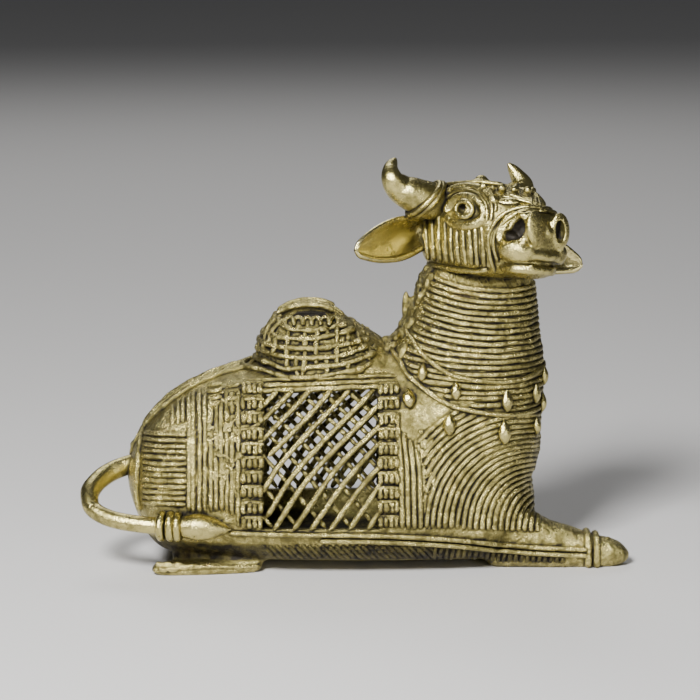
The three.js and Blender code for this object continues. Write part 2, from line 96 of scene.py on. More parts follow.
def rounded(value, power):
    return math.copysign(abs(value) ** (2 / power), value)


def mixed(a, b, t):
    return a + (b - a) * t


def smooth_step(low, high, value):
    t = min(1, max(0, (value - low) / (high - low)))
    return t * t * (3 - 2 * t)


class Body:
    """A form along X: top, bottom and half width by place, rounded off at both ends."""

    def __init__(self, rear, front, rear_round, front_round, top, bottom, half, power, middle=0.0):
        self.rear, self.front, self.rear_round, self.front_round = rear, front, rear_round, front_round
        self.top, self.bottom, self.half = top, bottom, half
        self.power, self.middle = power, middle

    def end_rounding(self, x, inset=0.0):
        tail = 1 - (x - self.rear - inset) / self.rear_round
        nose = 1 - (self.front - inset - x) / self.front_round
        return math.sqrt(max(0, 1 - max(0, tail, nose) ** 2))

    def point(self, x, angle):
        shrink = self.end_rounding(x)
        top, bottom = self.top(x), self.bottom(x)
        power = self.power(x) if callable(self.power) else self.power
        return Vector((
            x,
            self.middle + self.half(x) * shrink * rounded(math.cos(angle), power),
            (top + bottom) / 2 + (top - bottom) / 2 * shrink * rounded(math.sin(angle), power),
        ))


TRUNK = Body(
    -50.4, 38.6, 9, 12,
    outline((-50.4, 28), (-47, 31.2), (-43, 34), (-38, 37.6), (-30, 41.2),
            (-22, 43.4), (0, 45.4), (14, 43.6), (24, 38), (40, 30)),
    outline((-50.4, 9), (-46, 4.6), (-40, 2.6), (-20, 1.3), (30, 1), (40, 1)),
    outline((-50.4, 12.5), (-44, 15.2), (-36, 18), (-24, 19.9), (-8, 20.6),
            (8, 20), (20, 18), (30, 15.6), (40, 13)),
    2.45,
)
TRUNK_WAIST = outline((-50.4, 19), (-36, 16.5), (-20, 14.5), (10, 13.5), (30, 11), (40, 9))
TRUNK_LOWER_POWER = 3.2

NECK_FRONT = outline((3, 35), (13, 36.8), (17, 37.2), (23, 39.3), (32, 39.7), (41, 40.4),
                     (52, 39), (61, 38.2), (70, 37.4))
NECK_BACK = outline((3, 0), (36, 2), (45, 5), (50, 9), (54, 11.2), (58, 12.4), (63, 14.4), (70, 17))
NECK_HALF = outline((3, 14), (20, 17), (30, 17), (40, 15.4), (49, 13.2), (58, 11.2), (70, 10))
NECK_FOOT, NECK_TOP, NECK_POWER, NECK_END_ROUND = 3, 70, 2.1, 9

HUMP_BACK = outline((40, -22.2), (46, -21.7), (50, -20.5), (53.4, -17.6), (55.7, -14.6), (57, -10.6))
HUMP_FRONT = outline((40, 10.5), (46, 8.4), (49.6, 4), (52.4, -1), (55.7, -6), (57, -10.6))
HUMP_HALF = outline((40, 13.6), (46, 12), (50, 10.4), (53.6, 7.2), (55.8, 3.8), (57, 0))
HUMP_FOOT, HUMP_TOP = 40, 57

STRETCHED_LEG = Body(
    26, 59.45, 4, 2.8,
    outline((26, 15), (34, 13), (38, 11), (41, 9.9), (44, 9),
            (47, 8.1), (50.4, 6.8), (53, 6.1), (56.5, 5.2), (59.8, 3.2)),
    outline((26, -0.4), (55, -0.4), (59.8, 0.8)),
    outline((26, 5.6), (40, 5.2), (49, 4.5), (51.5, 4.2), (55, 3.8), (59.4, 2.4)),
    2.7, -7.6,
)
FOLDED_LEG = Body(
    22, 45.4, 4, 4.6,
    outline((22, 6.8), (34, 7.4), (40, 6.8), (45.4, 5.4)),
    outline((22, -0.4), (45.4, -0.4)),
    outline((22, 4.6), (34, 5.4), (45.4, 4.6)),
    2.5, 9.4,
)
WINDOW = {"rear": -20.4, "front": 4.7, "sill": 10.6, "head": 40.2}
WALL = 2.0

SKULL = Body(
    -9.4, 25, 4, 4,
    outline((-9, 79.6), (-4, 82), (2, 83.2), (8, 83), (13, 82), (18, 80.4), (22, 78.9), (25.4, 77.4)),
    outline((-9, 63.4), (-4, 62.8), (4, 62.6), (12, 63.2), (17, 64.4), (20.5, 64), (25.4, 64.4)),
    outline((-9, 8.2), (0, 9.6), (7, 10.1), (11, 9.8), (15, 8.2), (18, 7.2), (21.5, 7.2), (25.4, 6.6)),
    outline((-9, 3.1), (12, 3.1), (18, 2.3), (25.4, 2.1)),
)
HEAD_PLACE = (Matrix.Translation((24.6, 0, 74)) @ Matrix.Rotation(math.radians(-52), 4, "Z")
              @ Matrix.Rotation(math.radians(-8), 4, "X") @ Matrix.Translation((0, 0, -74)))


def trunk_point(x, angle, inset=0.0):
    waist, half = TRUNK_WAIST(x), TRUNK.half(x) - inset
    upper = math.sin(angle) > 0
    power = TRUNK.power if upper else TRUNK_LOWER_POWER
    reach = (TRUNK.top(x) - inset - waist) if upper else (waist - TRUNK.bottom(x) - inset)
    shrink = TRUNK.end_rounding(x, inset)
    return Vector((x, half * shrink * rounded(math.cos(angle), power),
                   waist + reach * shrink * rounded(math.sin(angle), power)))


def neck_point(z, angle, inset=0.0):
    front, back = NECK_FRONT(z), NECK_BACK(z)
    long = (front - back) / 2 - inset
    near = min(z - NECK_FOOT - inset, NECK_TOP - inset - z)
    shrink = math.sqrt(max(0, 1 - max(0, 1 - near / NECK_END_ROUND) ** 2))
    c, s = rounded(math.cos(angle), NECK_POWER), rounded(math.sin(angle), NECK_POWER)
    return Vector(((front + back) / 2 + long * shrink * c, (NECK_HALF(z) - inset) * shrink * s, z))


def hump_point(z, angle):
    back, front = HUMP_BACK(z), HUMP_FRONT(z)
    return Vector(((front + back) / 2 + (front - back) / 2 * math.cos(angle),
                   HUMP_HALF(z) * math.sin(angle), z))


# Making meshes


def loft(bm, stations, sides, place):
    """A closed round form through a ring at each station; the first and last rings shrink to a point."""
    rings = []
    for station in stations:
        ring = bmesh.ops.create_circle(bm, segments=sides, radius=1)["verts"]
        for vertex in ring:
            vertex.co = place(station, math.atan2(vertex.co.y, vertex.co.x))
        rings.append(ring)

    def edges(ring):
        members = set(ring)
        return {e for v in ring for e in v.link_edges if e.other_vert(v) in members}

    for below, above in zip(rings, rings[1:]):
        bmesh.ops.bridge_loops(bm, edges=list(edges(below) | edges(above)))
    for end in (rings[0], rings[-1]):
        bmesh.ops.pointmerge(bm, verts=end, merge_co=sum((v.co for v in end), Vector()) / len(end))


LARGE_RADIUS = 2  # millimetres; an ellipsoid beyond it gets a finer mesh


def ellipsoid(bm, centre, radii, turn=None):
    detail = 4 if max(radii) > LARGE_RADIUS else 2
    place = Matrix.Translation(centre) @ (turn or Matrix.Identity(4)) @ Matrix.Diagonal((*radii, 1))
    bmesh.ops.create_icosphere(bm, subdivisions=detail, radius=1, matrix=place)


def new_object(name, bm):
    bmesh.ops.recalc_face_normals(bm, faces=bm.faces)
    mesh = bpy.data.meshes.new(name)
    bm.to_mesh(mesh)
    bm.free()
    obj = bpy.data.objects.new(name, mesh)
    bpy.context.collection.objects.link(obj)
    return obj


def settled(obj):
    """The object with its modifiers worked into its mesh."""
    graph = bpy.context.evaluated_depsgraph_get()
    graph.update()
    mesh = bpy.data.meshes.new_from_object(obj.evaluated_get(graph))
    old = obj.data
    obj.modifiers.clear()
    obj.data = mesh
    bpy.data.meshes.remove(old)
    return obj


def remeshed(obj, voxel, smoothing):
    """One closed skin round all the forms of a mesh, with the joints between them softened."""
    remesh = obj.modifiers.new("Skin", "REMESH")
    remesh.mode, remesh.voxel_size, remesh.use_smooth_shade = "VOXEL", voxel, True
    if smoothing:
        soften = obj.modifiers.new("Soften", "SMOOTH")
        soften.factor, soften.iterations = 0.5, smoothing
    return settled(obj)


def cut(obj, cutter):
    difference = obj.modifiers.new("Cut", "BOOLEAN")
    difference.operation, difference.solver, difference.object = "DIFFERENCE", "MANIFOLD", cutter
    settled(obj)
    bpy.data.objects.remove(cutter)
    return obj


def skin_tree(obj):
    bm = bmesh.new()
    bm.from_mesh(obj.data)
    tree = BVHTree.FromBMesh(bm)
    bm.free()
    return tree


def finished(obj, material, replaces=()):
    """Puts a drawn piece in the frame, gives it its finish and lets it ride with the figure."""
    obj.data.transform(TO_FRAME)
    obj.data.materials.clear()
    obj.data.materials.append(material)
    for polygon in obj.data.polygons:
        polygon.use_smooth = True
        polygon.material_index = 0
    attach(obj, "root")
    for node in replaces:
        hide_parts(node)


# Lines on a skin


def flowing(points, step):
    """Points a step apart on a smooth curve through the given ones, which have two or three numbers each."""
    points = [Vector(p) for p in points]
    ends = [points[0] * 2 - points[1], *points, points[-1] * 2 - points[-2]]
    dense = []
    for a, b, c, d in zip(ends, ends[1:], ends[2:], ends[3:]):
        count = max(2, math.ceil((c - b).length / step))
        for i in range(count):
            t = i / count
            dense.append(0.5 * ((2 * b) + (c - a) * t + (2 * a - 5 * b + 4 * c - d) * t * t
                                + (3 * b - 3 * c + d - a) * t * t * t))
    return [*dense, points[-1]]


def sight(px, py):
    """The line of sight through a point of the photograph's view."""
    eye = VIEW_TARGET + VIEW_BACK * VIEW_DISTANCE
    seen = (VIEW_TARGET + AHEAD * ((px - VIEW_CENTRE) / VIEW_SCALE)
            + VIEW_UP * ((VIEW_CENTRE - py) / VIEW_SCALE))
    return eye, (seen - eye).normalized()


def seen_spot(skin, px, py):
    """The point on a skin that the view shows at a place, and the way out of the skin there."""
    return skin.ray_cast(*sight(px, py))[:2]


STEP, FINE_STEP = 2.5, 1.6  # pixels from point to point of a line drawn in the view
LARGEST_JUMP = 6  # millimetres; a line that jumps further has left its part of the skin


def seen_line(skin, points, step=STEP):
    """The line on a skin that the view shows running through these points."""
    line = []
    for p in flowing(points, step):
        point, outward = seen_spot(skin, p.x, p.y)
        if point is not None and (not line or (point - line[-1][0]).length < LARGEST_JUMP):
            line.append((point, outward))
    return line


def both(skin, point, outward, place=None):
    """A spot on a skin and its twin on the far side."""
    return (point, outward), other_side(skin, [(point, outward)], place)[0]


def lump(bm, spot, radii, lift=0.0):
    """An ellipsoid on a skin: its radii along the skin, up it and out of it."""
    point, outward = spot
    up = (UP - outward * outward.z).normalized()
    turn = Matrix((up.cross(outward), up, outward)).transposed().to_4x4()
    ellipsoid(bm, point + outward * lift, radii, turn)


RIDGE_STEP = 0.55  # millimetres from point to point of a cord along a ridge


def ridge_line(skin, ridge, y):
    """The line on a skin nearest to these (x, z) places at y."""
    return [skin.find_nearest(p)[:2] for p in flowing([(x, y, z) for x, z in ridge], RIDGE_STEP)]


def other_side(skin, line, place=None):
    """The same line on the far side of the figure, or of its head."""
    mirror = Matrix.Diagonal((1, -1, 1, 1))
    if place is not None:
        mirror = place @ mirror @ place.inverted()
    return [skin.find_nearest(mirror @ point)[:2] for point, _ in line]


FEWEST_KNOTS = 3
END_TAPER = (0.55, 0.85, 1)  # share of the radius at the end of a thread, one knot in and beyond
SLOW_SWELL, QUICK_SWELL, SIDE_SWAY = 0.21, 0.7, 0.3  # how fast the unevenness changes from knot to knot
MELT_GRAIN = 0.23  # how fast the melting in changes over the skin, to a millimetre
MELT_FROM, MELT_FULL = -0.15, 0.45
NO_FLOOR = -9.0  # lies below everything


class Threads:
    """A piece made of wax threads, each a rod along its own line."""

    def __init__(self, name, seed):
        self.curve = bpy.data.curves.new(name, "CURVE")
        self.curve.dimensions = "3D"
        self.curve.bevel_depth = 1
        self.curve.bevel_resolution = 2
        self.curve.use_fill_caps = True
        self.random = random.Random(seed)

    def lay(self, line, diameter, lift=0.0, closed=False, uneven=0.07, sink=0.0, floor=NO_FLOOR):
        """Lays a thread along (point, outward) pairs, lifted off them but melting in by up to sink."""
        if len(line) < FEWEST_KNOTS:
            return
        radius = diameter / 2
        drift = self.random.uniform(0, 100)

        def unevenness(knot_number, pace, layer):
            return noise.noise(Vector((knot_number * pace, drift, layer)))

        spline = self.curve.splines.new("POLY")
        spline.points.add(len(line) - 1)
        spline.use_cyclic_u = closed
        for i, (knot, (point, outward)) in enumerate(zip(spline.points, line)):
            wobble = unevenness(i, SLOW_SWELL, 0) + 0.5 * unevenness(i, QUICK_SWELL, 5)
            swell = radius * (1 + uneven * 2 * wobble)
            if not closed:
                from_end = min(i, len(line) - 1 - i)
                swell *= END_TAPER[min(from_end, 2)]
            drop = sink * smooth_step(MELT_FROM, MELT_FULL, noise.noise(point * MELT_GRAIN))
            centre = point + outward * (lift - drop + radius * uneven * unevenness(i, SIDE_SWAY, 9))
            centre.z = max(centre.z, floor + swell)
            knot.co = (*centre, 1)
            knot.radius = swell

    def made(self):
        """The threads as one mesh piece."""
        return meshed(self.curve)


def meshed(curve):
    """A curve's mesh as a piece of its own."""
    name = curve.name
    holder = bpy.data.objects.new(name, curve)
    bpy.context.collection.objects.link(holder)
    graph = bpy.context.evaluated_depsgraph_get()
    graph.update()
    mesh = bpy.data.meshes.new_from_object(holder.evaluated_get(graph))
    bpy.data.objects.remove(holder)
    bpy.data.curves.remove(curve)
    obj = bpy.data.objects.new(name, mesh)
    bpy.context.collection.objects.link(obj)
    return obj


def sphere_rays(count):
    """Directions spread evenly over a sphere."""
    golden_turn = math.pi * (3 - math.sqrt(5))
    rays = []
    for i in range(count):
        z = 1 - 2 * (i + 0.5) / count
        flat = math.sqrt(1 - z * z)
        rays.append(Vector((flat * math.cos(i * golden_turn), flat * math.sin(i * golden_turn), z)))
    return rays


# Painted shade low on the belly, where the underside is out of the light, in millimetres of the drawn figure.
BELLY_SHADE_DARKNESS = 0.85
BELLY_SHADE_FOOT = (2.4, 3)  # heights between which it sets in
BELLY_SHADE_TOP = (6.3, 4.3)  # its upper edge behind and before the places below
BELLY_SHADE_TOP_DROPS = (-25, 5)
BELLY_SHADE_TOP_FADE = 1.4
BELLY_SHADE_FRONT = (42, 37)


def underside_painted_shade(x, z):
    """Painted shade low on the belly, up to the cords that run along the flank."""
    top = mixed(*BELLY_SHADE_TOP, smooth_step(*BELLY_SHADE_TOP_DROPS, x))
    upper_edge = smooth_step(top + BELLY_SHADE_TOP_FADE, top, z)
    return BELLY_SHADE_DARKNESS * smooth_step(*BELLY_SHADE_FOOT, z) * upper_edge * smooth_step(*BELLY_SHADE_FRONT, x)


# How closed in each vertex is darkens it: patina that gathers in the hollows, together with painted shade.
RAY_COUNT = 18
RAY_REACH, RAY_START = 3.2, 0.07  # how far a ray looks, and how far off the skin it starts
GRAZING = 0.12  # rays that lean further over than this aren't counted
FAR_LOSS = 0.6  # how much less a wall counts where it is at a ray's full reach
OPEN_SHARE, SHUT_SHARE = 0.08, 0.62  # closed-in share at which the patina and painted shade set in and at which they are full
LEAF_LIT_OPEN_SHARE = 0.3  # the same for the ears, which cup; set high so the cup keeps painted light instead of shade
# Painted shade round a pit of the hump, and in the folds of the face: how dark, and from where to where it
# grows, by the distance from the pit's middle and by the depth under the skull.
PIT_SHADE_DARKNESS, PIT_SHADE_RIM, PIT_SHADE_HEART = 1.4, 1.7, 1.1
FOLD_SHADE_DARKNESS, FOLD_SHADE_RIM, FOLD_SHADE_HEART = 1.7, 0.4, 1.1


def closed_in(tree, rays, point, normal):
    """How much of what lies before a point of the surface is stopped by other parts of the figure."""
    origin = point + normal * RAY_START
    shut = whole = 0.0
    for ray in rays:
        share = ray.dot(normal)
        if share < GRAZING:
            continue
        whole += share
        distance = tree.ray_cast(origin, ray, RAY_REACH)[3]
        if distance is not None:
            shut += share * (1 - FAR_LOSS * distance / RAY_REACH)
    return shut / whole if whole else 1


def painted_shade(kind, point):
    """Painted shade on the belly, in the pits of the hump and in the folds of the face."""
    if kind == "face":
        hit, outward = shared["skull"].find_nearest(point)[:2]
        return FOLD_SHADE_DARKNESS * smooth_step(FOLD_SHADE_RIM, FOLD_SHADE_HEART, (hit - point).dot(outward))
    if kind != "skin":
        return 0
    dark = underside_painted_shade(point.x, point.z)
    if point.z > HUMP_PITS_FOOT:
        nearest = min((point - pit).length for pit in shared["pits"])
        dark = max(dark, PIT_SHADE_DARKNESS * smooth_step(PIT_SHADE_RIM, PIT_SHADE_HEART, nearest))
    return dark


def shade_recesses(pieces):
    """Stores each vertex's patina with painted shade: the more the pieces close it in, the darker it is."""
    points, faces = [], []
    for obj, _, _ in pieces:
        first = len(points)
        points += [v.co for v in obj.data.vertices]
        faces += [[first + i for i in p.vertices] for p in obj.data.polygons]
    tree = BVHTree.FromPolygons(points, faces)
    rays = sphere_rays(RAY_COUNT)
    for obj, bare, kind in pieces:
        values = []
        open_share = LEAF_LIT_OPEN_SHARE if kind == "leaf" else OPEN_SHARE
        for vertex in obj.data.vertices:
            shut = closed_in(tree, rays, vertex.co, vertex.normal)
            dark = max(smooth_step(open_share, SHUT_SHARE, shut), painted_shade(kind, vertex.co))
            values.append(mixed(bare, 1, dark))
        # The patina attribute holds patina and painted shade together.
        layer = obj.data.attributes.new("patina", "FLOAT", "POINT")
        layer.data.foreach_set("value", values)


# Skins


# The folded hind legs lie on the ground: hock and toe of the left one, its width and its height.
HIND_LEG_BARS = (
    ((-44.2, 16.4), (-20.5, 13.4), 6, 2.7),
    ((-40, 11), (-24, 9), 6.5, 7.4),
)
BODY_VOXEL, HOLLOW_VOXEL, PIT_VOXEL = 0.7, 0.9, 0.35
HUMP_PITS = ((299, 315.6), (304.5, 314.8), (310, 314.4), (315.5, 314.6), (321, 315.6))
HUMP_PITS_FOOT = 45  # no pit of the hump lies lower
PIT_RADII = (1.5, 0.8, 0.9)
WINDOW_CUT = 120  # goes through both flanks


def body_skin():
    """Trunk, neck, hump, legs and feet in one skin, with the hollow and the lattice windows cut."""
    bm = bmesh.new()
    loft(bm, eased(TRUNK.rear, TRUNK.front, 40), 64, trunk_point)
    loft(bm, eased(NECK_FOOT, NECK_TOP, 40), 48, neck_point)
    loft(bm, [*eased(HUMP_FOOT, HUMP_TOP, 24)[:-1], HUMP_TOP], 48, hump_point)
    for leg in (STRETCHED_LEG, FOLDED_LEG):
        loft(bm, eased(leg.rear, leg.front, 24), 32, leg.point)
    for side in (RIGHT, LEFT):
        for bar in HIND_LEG_BARS:
            loft(bm, eased(0, 1, 20), 24, resting_bar(*bar, side))
    body = remeshed(new_object("body_skin", bm), BODY_VOXEL, 5)
    flatten_underside(body)
    shared["skin"] = skin_tree(body)
    cut(body, hollow())
    cut(body, hump_pits())
    return cut(body, window())


def hollow():
    """The space inside the trunk and the neck."""
    bm = bmesh.new()
    loft(bm, eased(TRUNK.rear + WALL, TRUNK.front - WALL, 24), 40, lambda x, a: trunk_point(x, a, WALL))
    loft(bm, eased(NECK_FOOT + WALL, NECK_TOP - WALL, 24), 32, lambda z, a: neck_point(z, a, WALL))
    return remeshed(new_object("hollow", bm), HOLLOW_VOXEL, 3)


def hump_pits():
    """The row of pits under the hump's crescent, on both sides."""
    bm = bmesh.new()
    shared["pits"] = []
    for place in HUMP_PITS:
        for spot in both(shared["skin"], *seen_spot(shared["skin"], *place)):
            lump(bm, spot, PIT_RADII)
            shared["pits"].append(spot[0])
    return remeshed(new_object("pits", bm), PIT_VOXEL, 2)


def window():
    """A block through both flanks where their lattices are."""
    bm = bmesh.new()
    long, high = WINDOW["front"] - WINDOW["rear"], WINDOW["head"] - WINDOW["sill"]
    middle = ((WINDOW["front"] + WINDOW["rear"]) / 2, 0, (WINDOW["head"] + WINDOW["sill"]) / 2)
    place = Matrix.Translation(middle) @ Matrix.Diagonal((long, WINDOW_CUT, high, 1))
    bmesh.ops.create_cube(bm, size=1, matrix=place)
    return new_object("window", bm)


def resting_bar(hock, toe, width, height, side):
    """The place of a ring's point on a bar along the ground, flat below and blunt at both ends."""
    rear, front = Vector((hock[0], side * hock[1], 0)), Vector((toe[0], side * toe[1], 0))
    below = 0.4  # millimetres under the ground, which are cut off

    def place(t, angle):
        fade = max(0, 4 * t * (1 - t)) ** 0.175
        across = width * fade * rounded(math.cos(angle), 3) / 2
        rise = (height - below) / 2 + (height + below) / 2 * fade * rounded(math.sin(angle), 3)
        return rear.lerp(front, t) + Vector((0, across, rise))

    return place


def flatten_underside(obj):
    """Cuts off what hangs below the ground and closes the cut."""
    bm = bmesh.new()
    bm.from_mesh(obj.data)
    geometry = [*bm.verts, *bm.edges, *bm.faces]
    cut_line = bmesh.ops.bisect_plane(bm, geom=geometry, plane_co=(0, 0, 0), plane_no=(0, 0, -1),
                                      clear_outer=True)["geom_cut"]
    bmesh.ops.holes_fill(bm, edges=[e for e in cut_line if isinstance(e, bmesh.types.BMEdge)], sides=0)
    bm.to_mesh(obj.data)
    bm.free()


EYE = (464.7, 209.3)
# The face, drawn where the view shows its near half; each line is a roll of wax: diameter, lift off the skull
# and (px, py) places.
FACE_ROLLS = (
    # upper and lower lid
    (1.9, 0.2, ((446, 213), (450, 204.5), (457, 198.5), (466, 196.5), (475, 199), (482, 206), (485.5, 216))),
    (2.6, 0.05, ((447, 215), (454, 222), (465, 225.5), (477, 223.5), (485.5, 217))),
    # brow
    (2.2, 0.0, ((444, 195), (455, 189), (467, 187), (480, 189), (490, 195), (496, 204))),
)
FACE_ROLLS_ACROSS = (
    # upper lip, lower lip and chin
    (2.3, -0.2, ((500, 255), (512, 257), (524, 257), (536, 255.5), (547, 257.5))),
    (2.1, 0.0, ((501.5, 268), (515, 269), (531, 270.2), (546, 270.4))),
)
MOUTH = ((497, 260.5), (506, 262.4), (515, 263), (530, 262.8), (540, 263.2), (552, 265.4))
# Rims of the nostrils and the folds between them: diameter and places, each on one side alone.
NOSE_ROLLS = (
    (1.4, ((527, 216.5), (521, 215), (514, 214.2), (509, 216.5), (504, 221.5), (500, 229), (498.5, 236.5),
           (502, 242.5), (510, 245.2), (520, 244.5), (526.5, 241))),
    (1.1, ((526, 212.8), (535, 213.8), (542, 219), (546, 226.5), (548.5, 236))),
    (1.1, ((557, 218.5), (553.5, 224.5), (551, 230), (549.5, 236.5))),
    (1.1, ((557.5, 220), (562, 223.5), (564.8, 230), (564.3, 238), (560, 243.5))),
)
# Lumps on the face: px, py, radii and lift.
FACE_LUMPS = (
    (*EYE, (2.8, 2.7, 1.3), -0.2),
    (512, 251, (3.3, 2.2, 1.4), -0.3),
    (528, 250.3, (1.4, 1.1, 0.9), 0.15),
    (536, 228.5, (2.5, 3.9, 0.9), -0.15),
    (531, 265.5, (1.1, 0.8, 0.8), 0.1),
    (489, 236, (1.6, 3.6, 0.7), -0.2),
)
NOSTRIL_HOLLOWS = (
    (516.3, 228, (1.85, 2.4, 3.8), 0.4),
    (508, 235.4, (1.9, 1.3, 2.8), 0.3),
    (559.3, 231.3, (1.2, 2.4, 1.9), 0.2),
)
PUPIL = (*EYE, (1.05, 1.05, 1.6), 0.9)
ROLL_LIFT = 0.05  # of the rolls on one side alone
MOUTH_WIDTH, MOUTH_LIFT = 1.2, 0.1
# Ellipsoids of the head before it is turned, each a centre and radii: first those on both sides.
MUZZLE_TWINS = (((22, 3.7, 74.4), (2.7, 3, 3.8)), ((21.2, 3.6, 69.6), (3, 3.2, 3)))
CHIN = ((20.2, 0, 65.6), (4, 5, 1.6))
POLL = ((1.7, 0, 83.1), (1.6, 1.6, 1.5))
SKULL_VOXEL, FACE_VOXEL, HOLE_VOXEL, HEAD_VOXEL = 0.4, 0.3, 0.25, 0.28


def rolled(name, skin, rolls, across=(), single=()):
    """Rolls of wax on the near and far side of a skin, across it, or on one side alone."""
    made = Threads(name, 17)
    for diameter, lift, knots in rolls:
        both_sides(made, skin, seen_line(skin, knots, FINE_STEP), diameter, lift, HEAD_PLACE, uneven=0.03)
    for diameter, lift, knots in across:
        near = seen_line(skin, knots, FINE_STEP)
        made.lay([*near, *reversed(other_side(skin, near, HEAD_PLACE))], diameter, lift, uneven=0.04)
    for diameter, knots in single:
        made.lay(seen_line(skin, knots, FINE_STEP), diameter, ROLL_LIFT, uneven=0.03)
    return made.made()


def lumps_on(name, skin, twins, alone=()):
    """Lumps on both sides of the head, and lumps on its near side alone."""
    bm = bmesh.new()
    for rows, count in ((twins, 2), (alone, 1)):
        for px, py, radii, lift in rows:
            spots = both(skin, *seen_spot(skin, px, py), HEAD_PLACE)
            for spot in spots[:count]:
                lump(bm, spot, radii, lift)
    return new_object(name, bm)


def joined(name, parts):
    """One object out of several, which it takes the place of."""
    bm = bmesh.new()
    for part in parts:
        bm.from_mesh(part.data)
        bpy.data.objects.remove(part)
    return new_object(name, bm)


def head_skin():
    """Skull and muzzle, then lids, brow, lips and nostrils worked into them."""
    bm = bmesh.new()
    loft(bm, eased(SKULL.rear, SKULL.front, 40), 48, SKULL.point)
    for side in (RIGHT, LEFT):
        for (x, y, z), radii in MUZZLE_TWINS:
            ellipsoid(bm, (x, side * y, z), radii)
    for centre, radii in (CHIN, POLL):
        ellipsoid(bm, centre, radii)
    bm.transform(HEAD_PLACE)
    head = remeshed(new_object("head_skin", bm), SKULL_VOXEL, 4)
    skull = shared["skull"] = skin_tree(head)
    rolls = rolled("rolls", skull, FACE_ROLLS, FACE_ROLLS_ACROSS, NOSE_ROLLS)
    forms = joined("head_skin", (head, rolls, lumps_on("lumps", skull, FACE_LUMPS)))
    head = remeshed(forms, FACE_VOXEL, 2)
    hollows = lumps_on("hollows", skull, (PUPIL,), NOSTRIL_HOLLOWS)
    mouth = rolled("mouth", skull, (), ((MOUTH_WIDTH, MOUTH_LIFT, MOUTH),))
    cut(head, remeshed(joined("holes", (mouth, hollows)), HOLE_VOXEL, 0))
    head = remeshed(head, HEAD_VOXEL, 1)
    shared["head"] = skin_tree(head)
    return head


# Threads


def both_sides(threads, skin, line, diameter, lift, place=None, **how):
    """Lays a thread on the near side and the same one on the far side."""
    threads.lay(line, diameter, lift, **how)
    threads.lay(other_side(skin, line, place), diameter, lift, **how)


def places(start, end, pitch):
    """Places a pitch apart, from start until the end is reached."""
    while start < end:
        yield start
        start += pitch


def shake(chance, most):
    """A random shift of up to most to either side."""
    return chance.uniform(-most, most)


# The rump in the view, in pixels across and down.
SPINE_IN_VIEW = outline((141, 431), (162, 406.5), (190.6, 386), (215, 375.5), (240, 368))
SPINE_CORD = ((246, 367.5), (230, 371.5), (214.7, 377), (196, 385), (176, 398), (160, 411),
              (149, 422), (142.5, 433), (140, 449), (138, 474), (137.5, 495), (140.5, 510))
SPINE_CORD_WIDTH = 1.35
HAUNCH_KNOTS = (142.5, 160, 187)  # ends and middle of its level threads
HAUNCH_ROWS = (434, 508)
RUMP_COLUMNS = (172, 242)
RUMP_COLUMN_PITCH = 0.95  # share of the pitch of the threads
SPINE_GAP = 6
HAUNCH_CROWN = 423  # where the columns over the haunch end
RUMP_FOOT_REAR, RUMP_FOOT_FRONT, RUMP_FOOT_SPREAD = 511, 527, 45
RUMP_LOWEST = 526
WHOLE_COLUMNS_END = 206
COLUMN_BREAKS = (404, 470)
MELTING_LEAST, MELTING_MOST, MELTING_GROWS = 0.25, 0.75, (200, 215)
STITCH_COLUMNS = ((208, 222), (226, 241))
STITCH_TOP, STITCH_PITCH, STITCH_ROWS, STITCH_SPINE_GAP = 386, 6.3, 4, 8
# The ridge down the rump: x and z of its places. Each of its cords has a y, a diameter and an unevenness.
RUMP_RIDGE = ((-25, 43.5), (-31, 43), (-38, 40), (-45, 35), (-50, 29.5), (-52.5, 24))
RUMP_RIDGE_CORDS = ((-1, 1.1, 0.2), (0, 1.3, 0.34), (1, 1.1, 0.2))


def haunch_threads(threads, skin, chance, size):
    """Level threads over the haunch."""
    left, middle, right = HAUNCH_KNOTS
    for y in places(*HAUNCH_ROWS, size.thread_pitch * VIEW_SCALE):
        slope = shake(chance, 0.8)
        knots = [(left, y - 1.5), (middle, y + 0.6 + slope), (right + shake(chance, 1.5), y + 1)]
        both_sides(threads, skin, seen_line(skin, knots), size.thread, -0.05, uneven=0.12, sink=0.3)


def rump_columns(threads, skin, chance, size):
    """Upright threads from the spine down, over the haunch and beside it up to the lattice."""
    for px in places(*RUMP_COLUMNS, size.thread_pitch * VIEW_SCALE * RUMP_COLUMN_PITCH):
        top = SPINE_IN_VIEW(px) + SPINE_GAP
        if px < HAUNCH_KNOTS[2]:
            bottom = HAUNCH_CROWN + shake(chance, 2)
        else:
            bottom = mixed(RUMP_FOOT_REAR, RUMP_FOOT_FRONT, (px - HAUNCH_KNOTS[2]) / RUMP_FOOT_SPREAD)
        spans = [(top, bottom)]
        if px >= WHOLE_COLUMNS_END:
            gap = chance.uniform(*COLUMN_BREAKS)
            spans = [(top + chance.uniform(8, 22), gap),
                     (gap + chance.uniform(4, 9), min(bottom, RUMP_LOWEST))]
        melted = mixed(MELTING_LEAST, MELTING_MOST, smooth_step(*MELTING_GROWS, px))
        for start, end in spans:
            x, wander = px + shake(chance, 0.5), shake(chance, 1)
            knots = [(x, start), (x + wander, (start + end) / 2), (x + wander * 0.3, end)]
            both_sides(threads, skin, seen_line(skin, knots), size.thread, -0.05, uneven=0.14, sink=melted)


def rump_stitches(threads, skin, chance, size):
    """Short level stitches in two columns beside the lattice's head."""
    for row in range(STITCH_ROWS):
        for start, end in STITCH_COLUMNS:
            y = STITCH_TOP + row * STITCH_PITCH + shake(chance, 1)
            middle = (start + end) / 2
            if y > SPINE_IN_VIEW(middle) + STITCH_SPINE_GAP:
                line = seen_line(skin, [(start, y + 1), (middle, y), (end, y - 1.5)])
                both_sides(threads, skin, line, size.thread, 0.0, uneven=0.14)


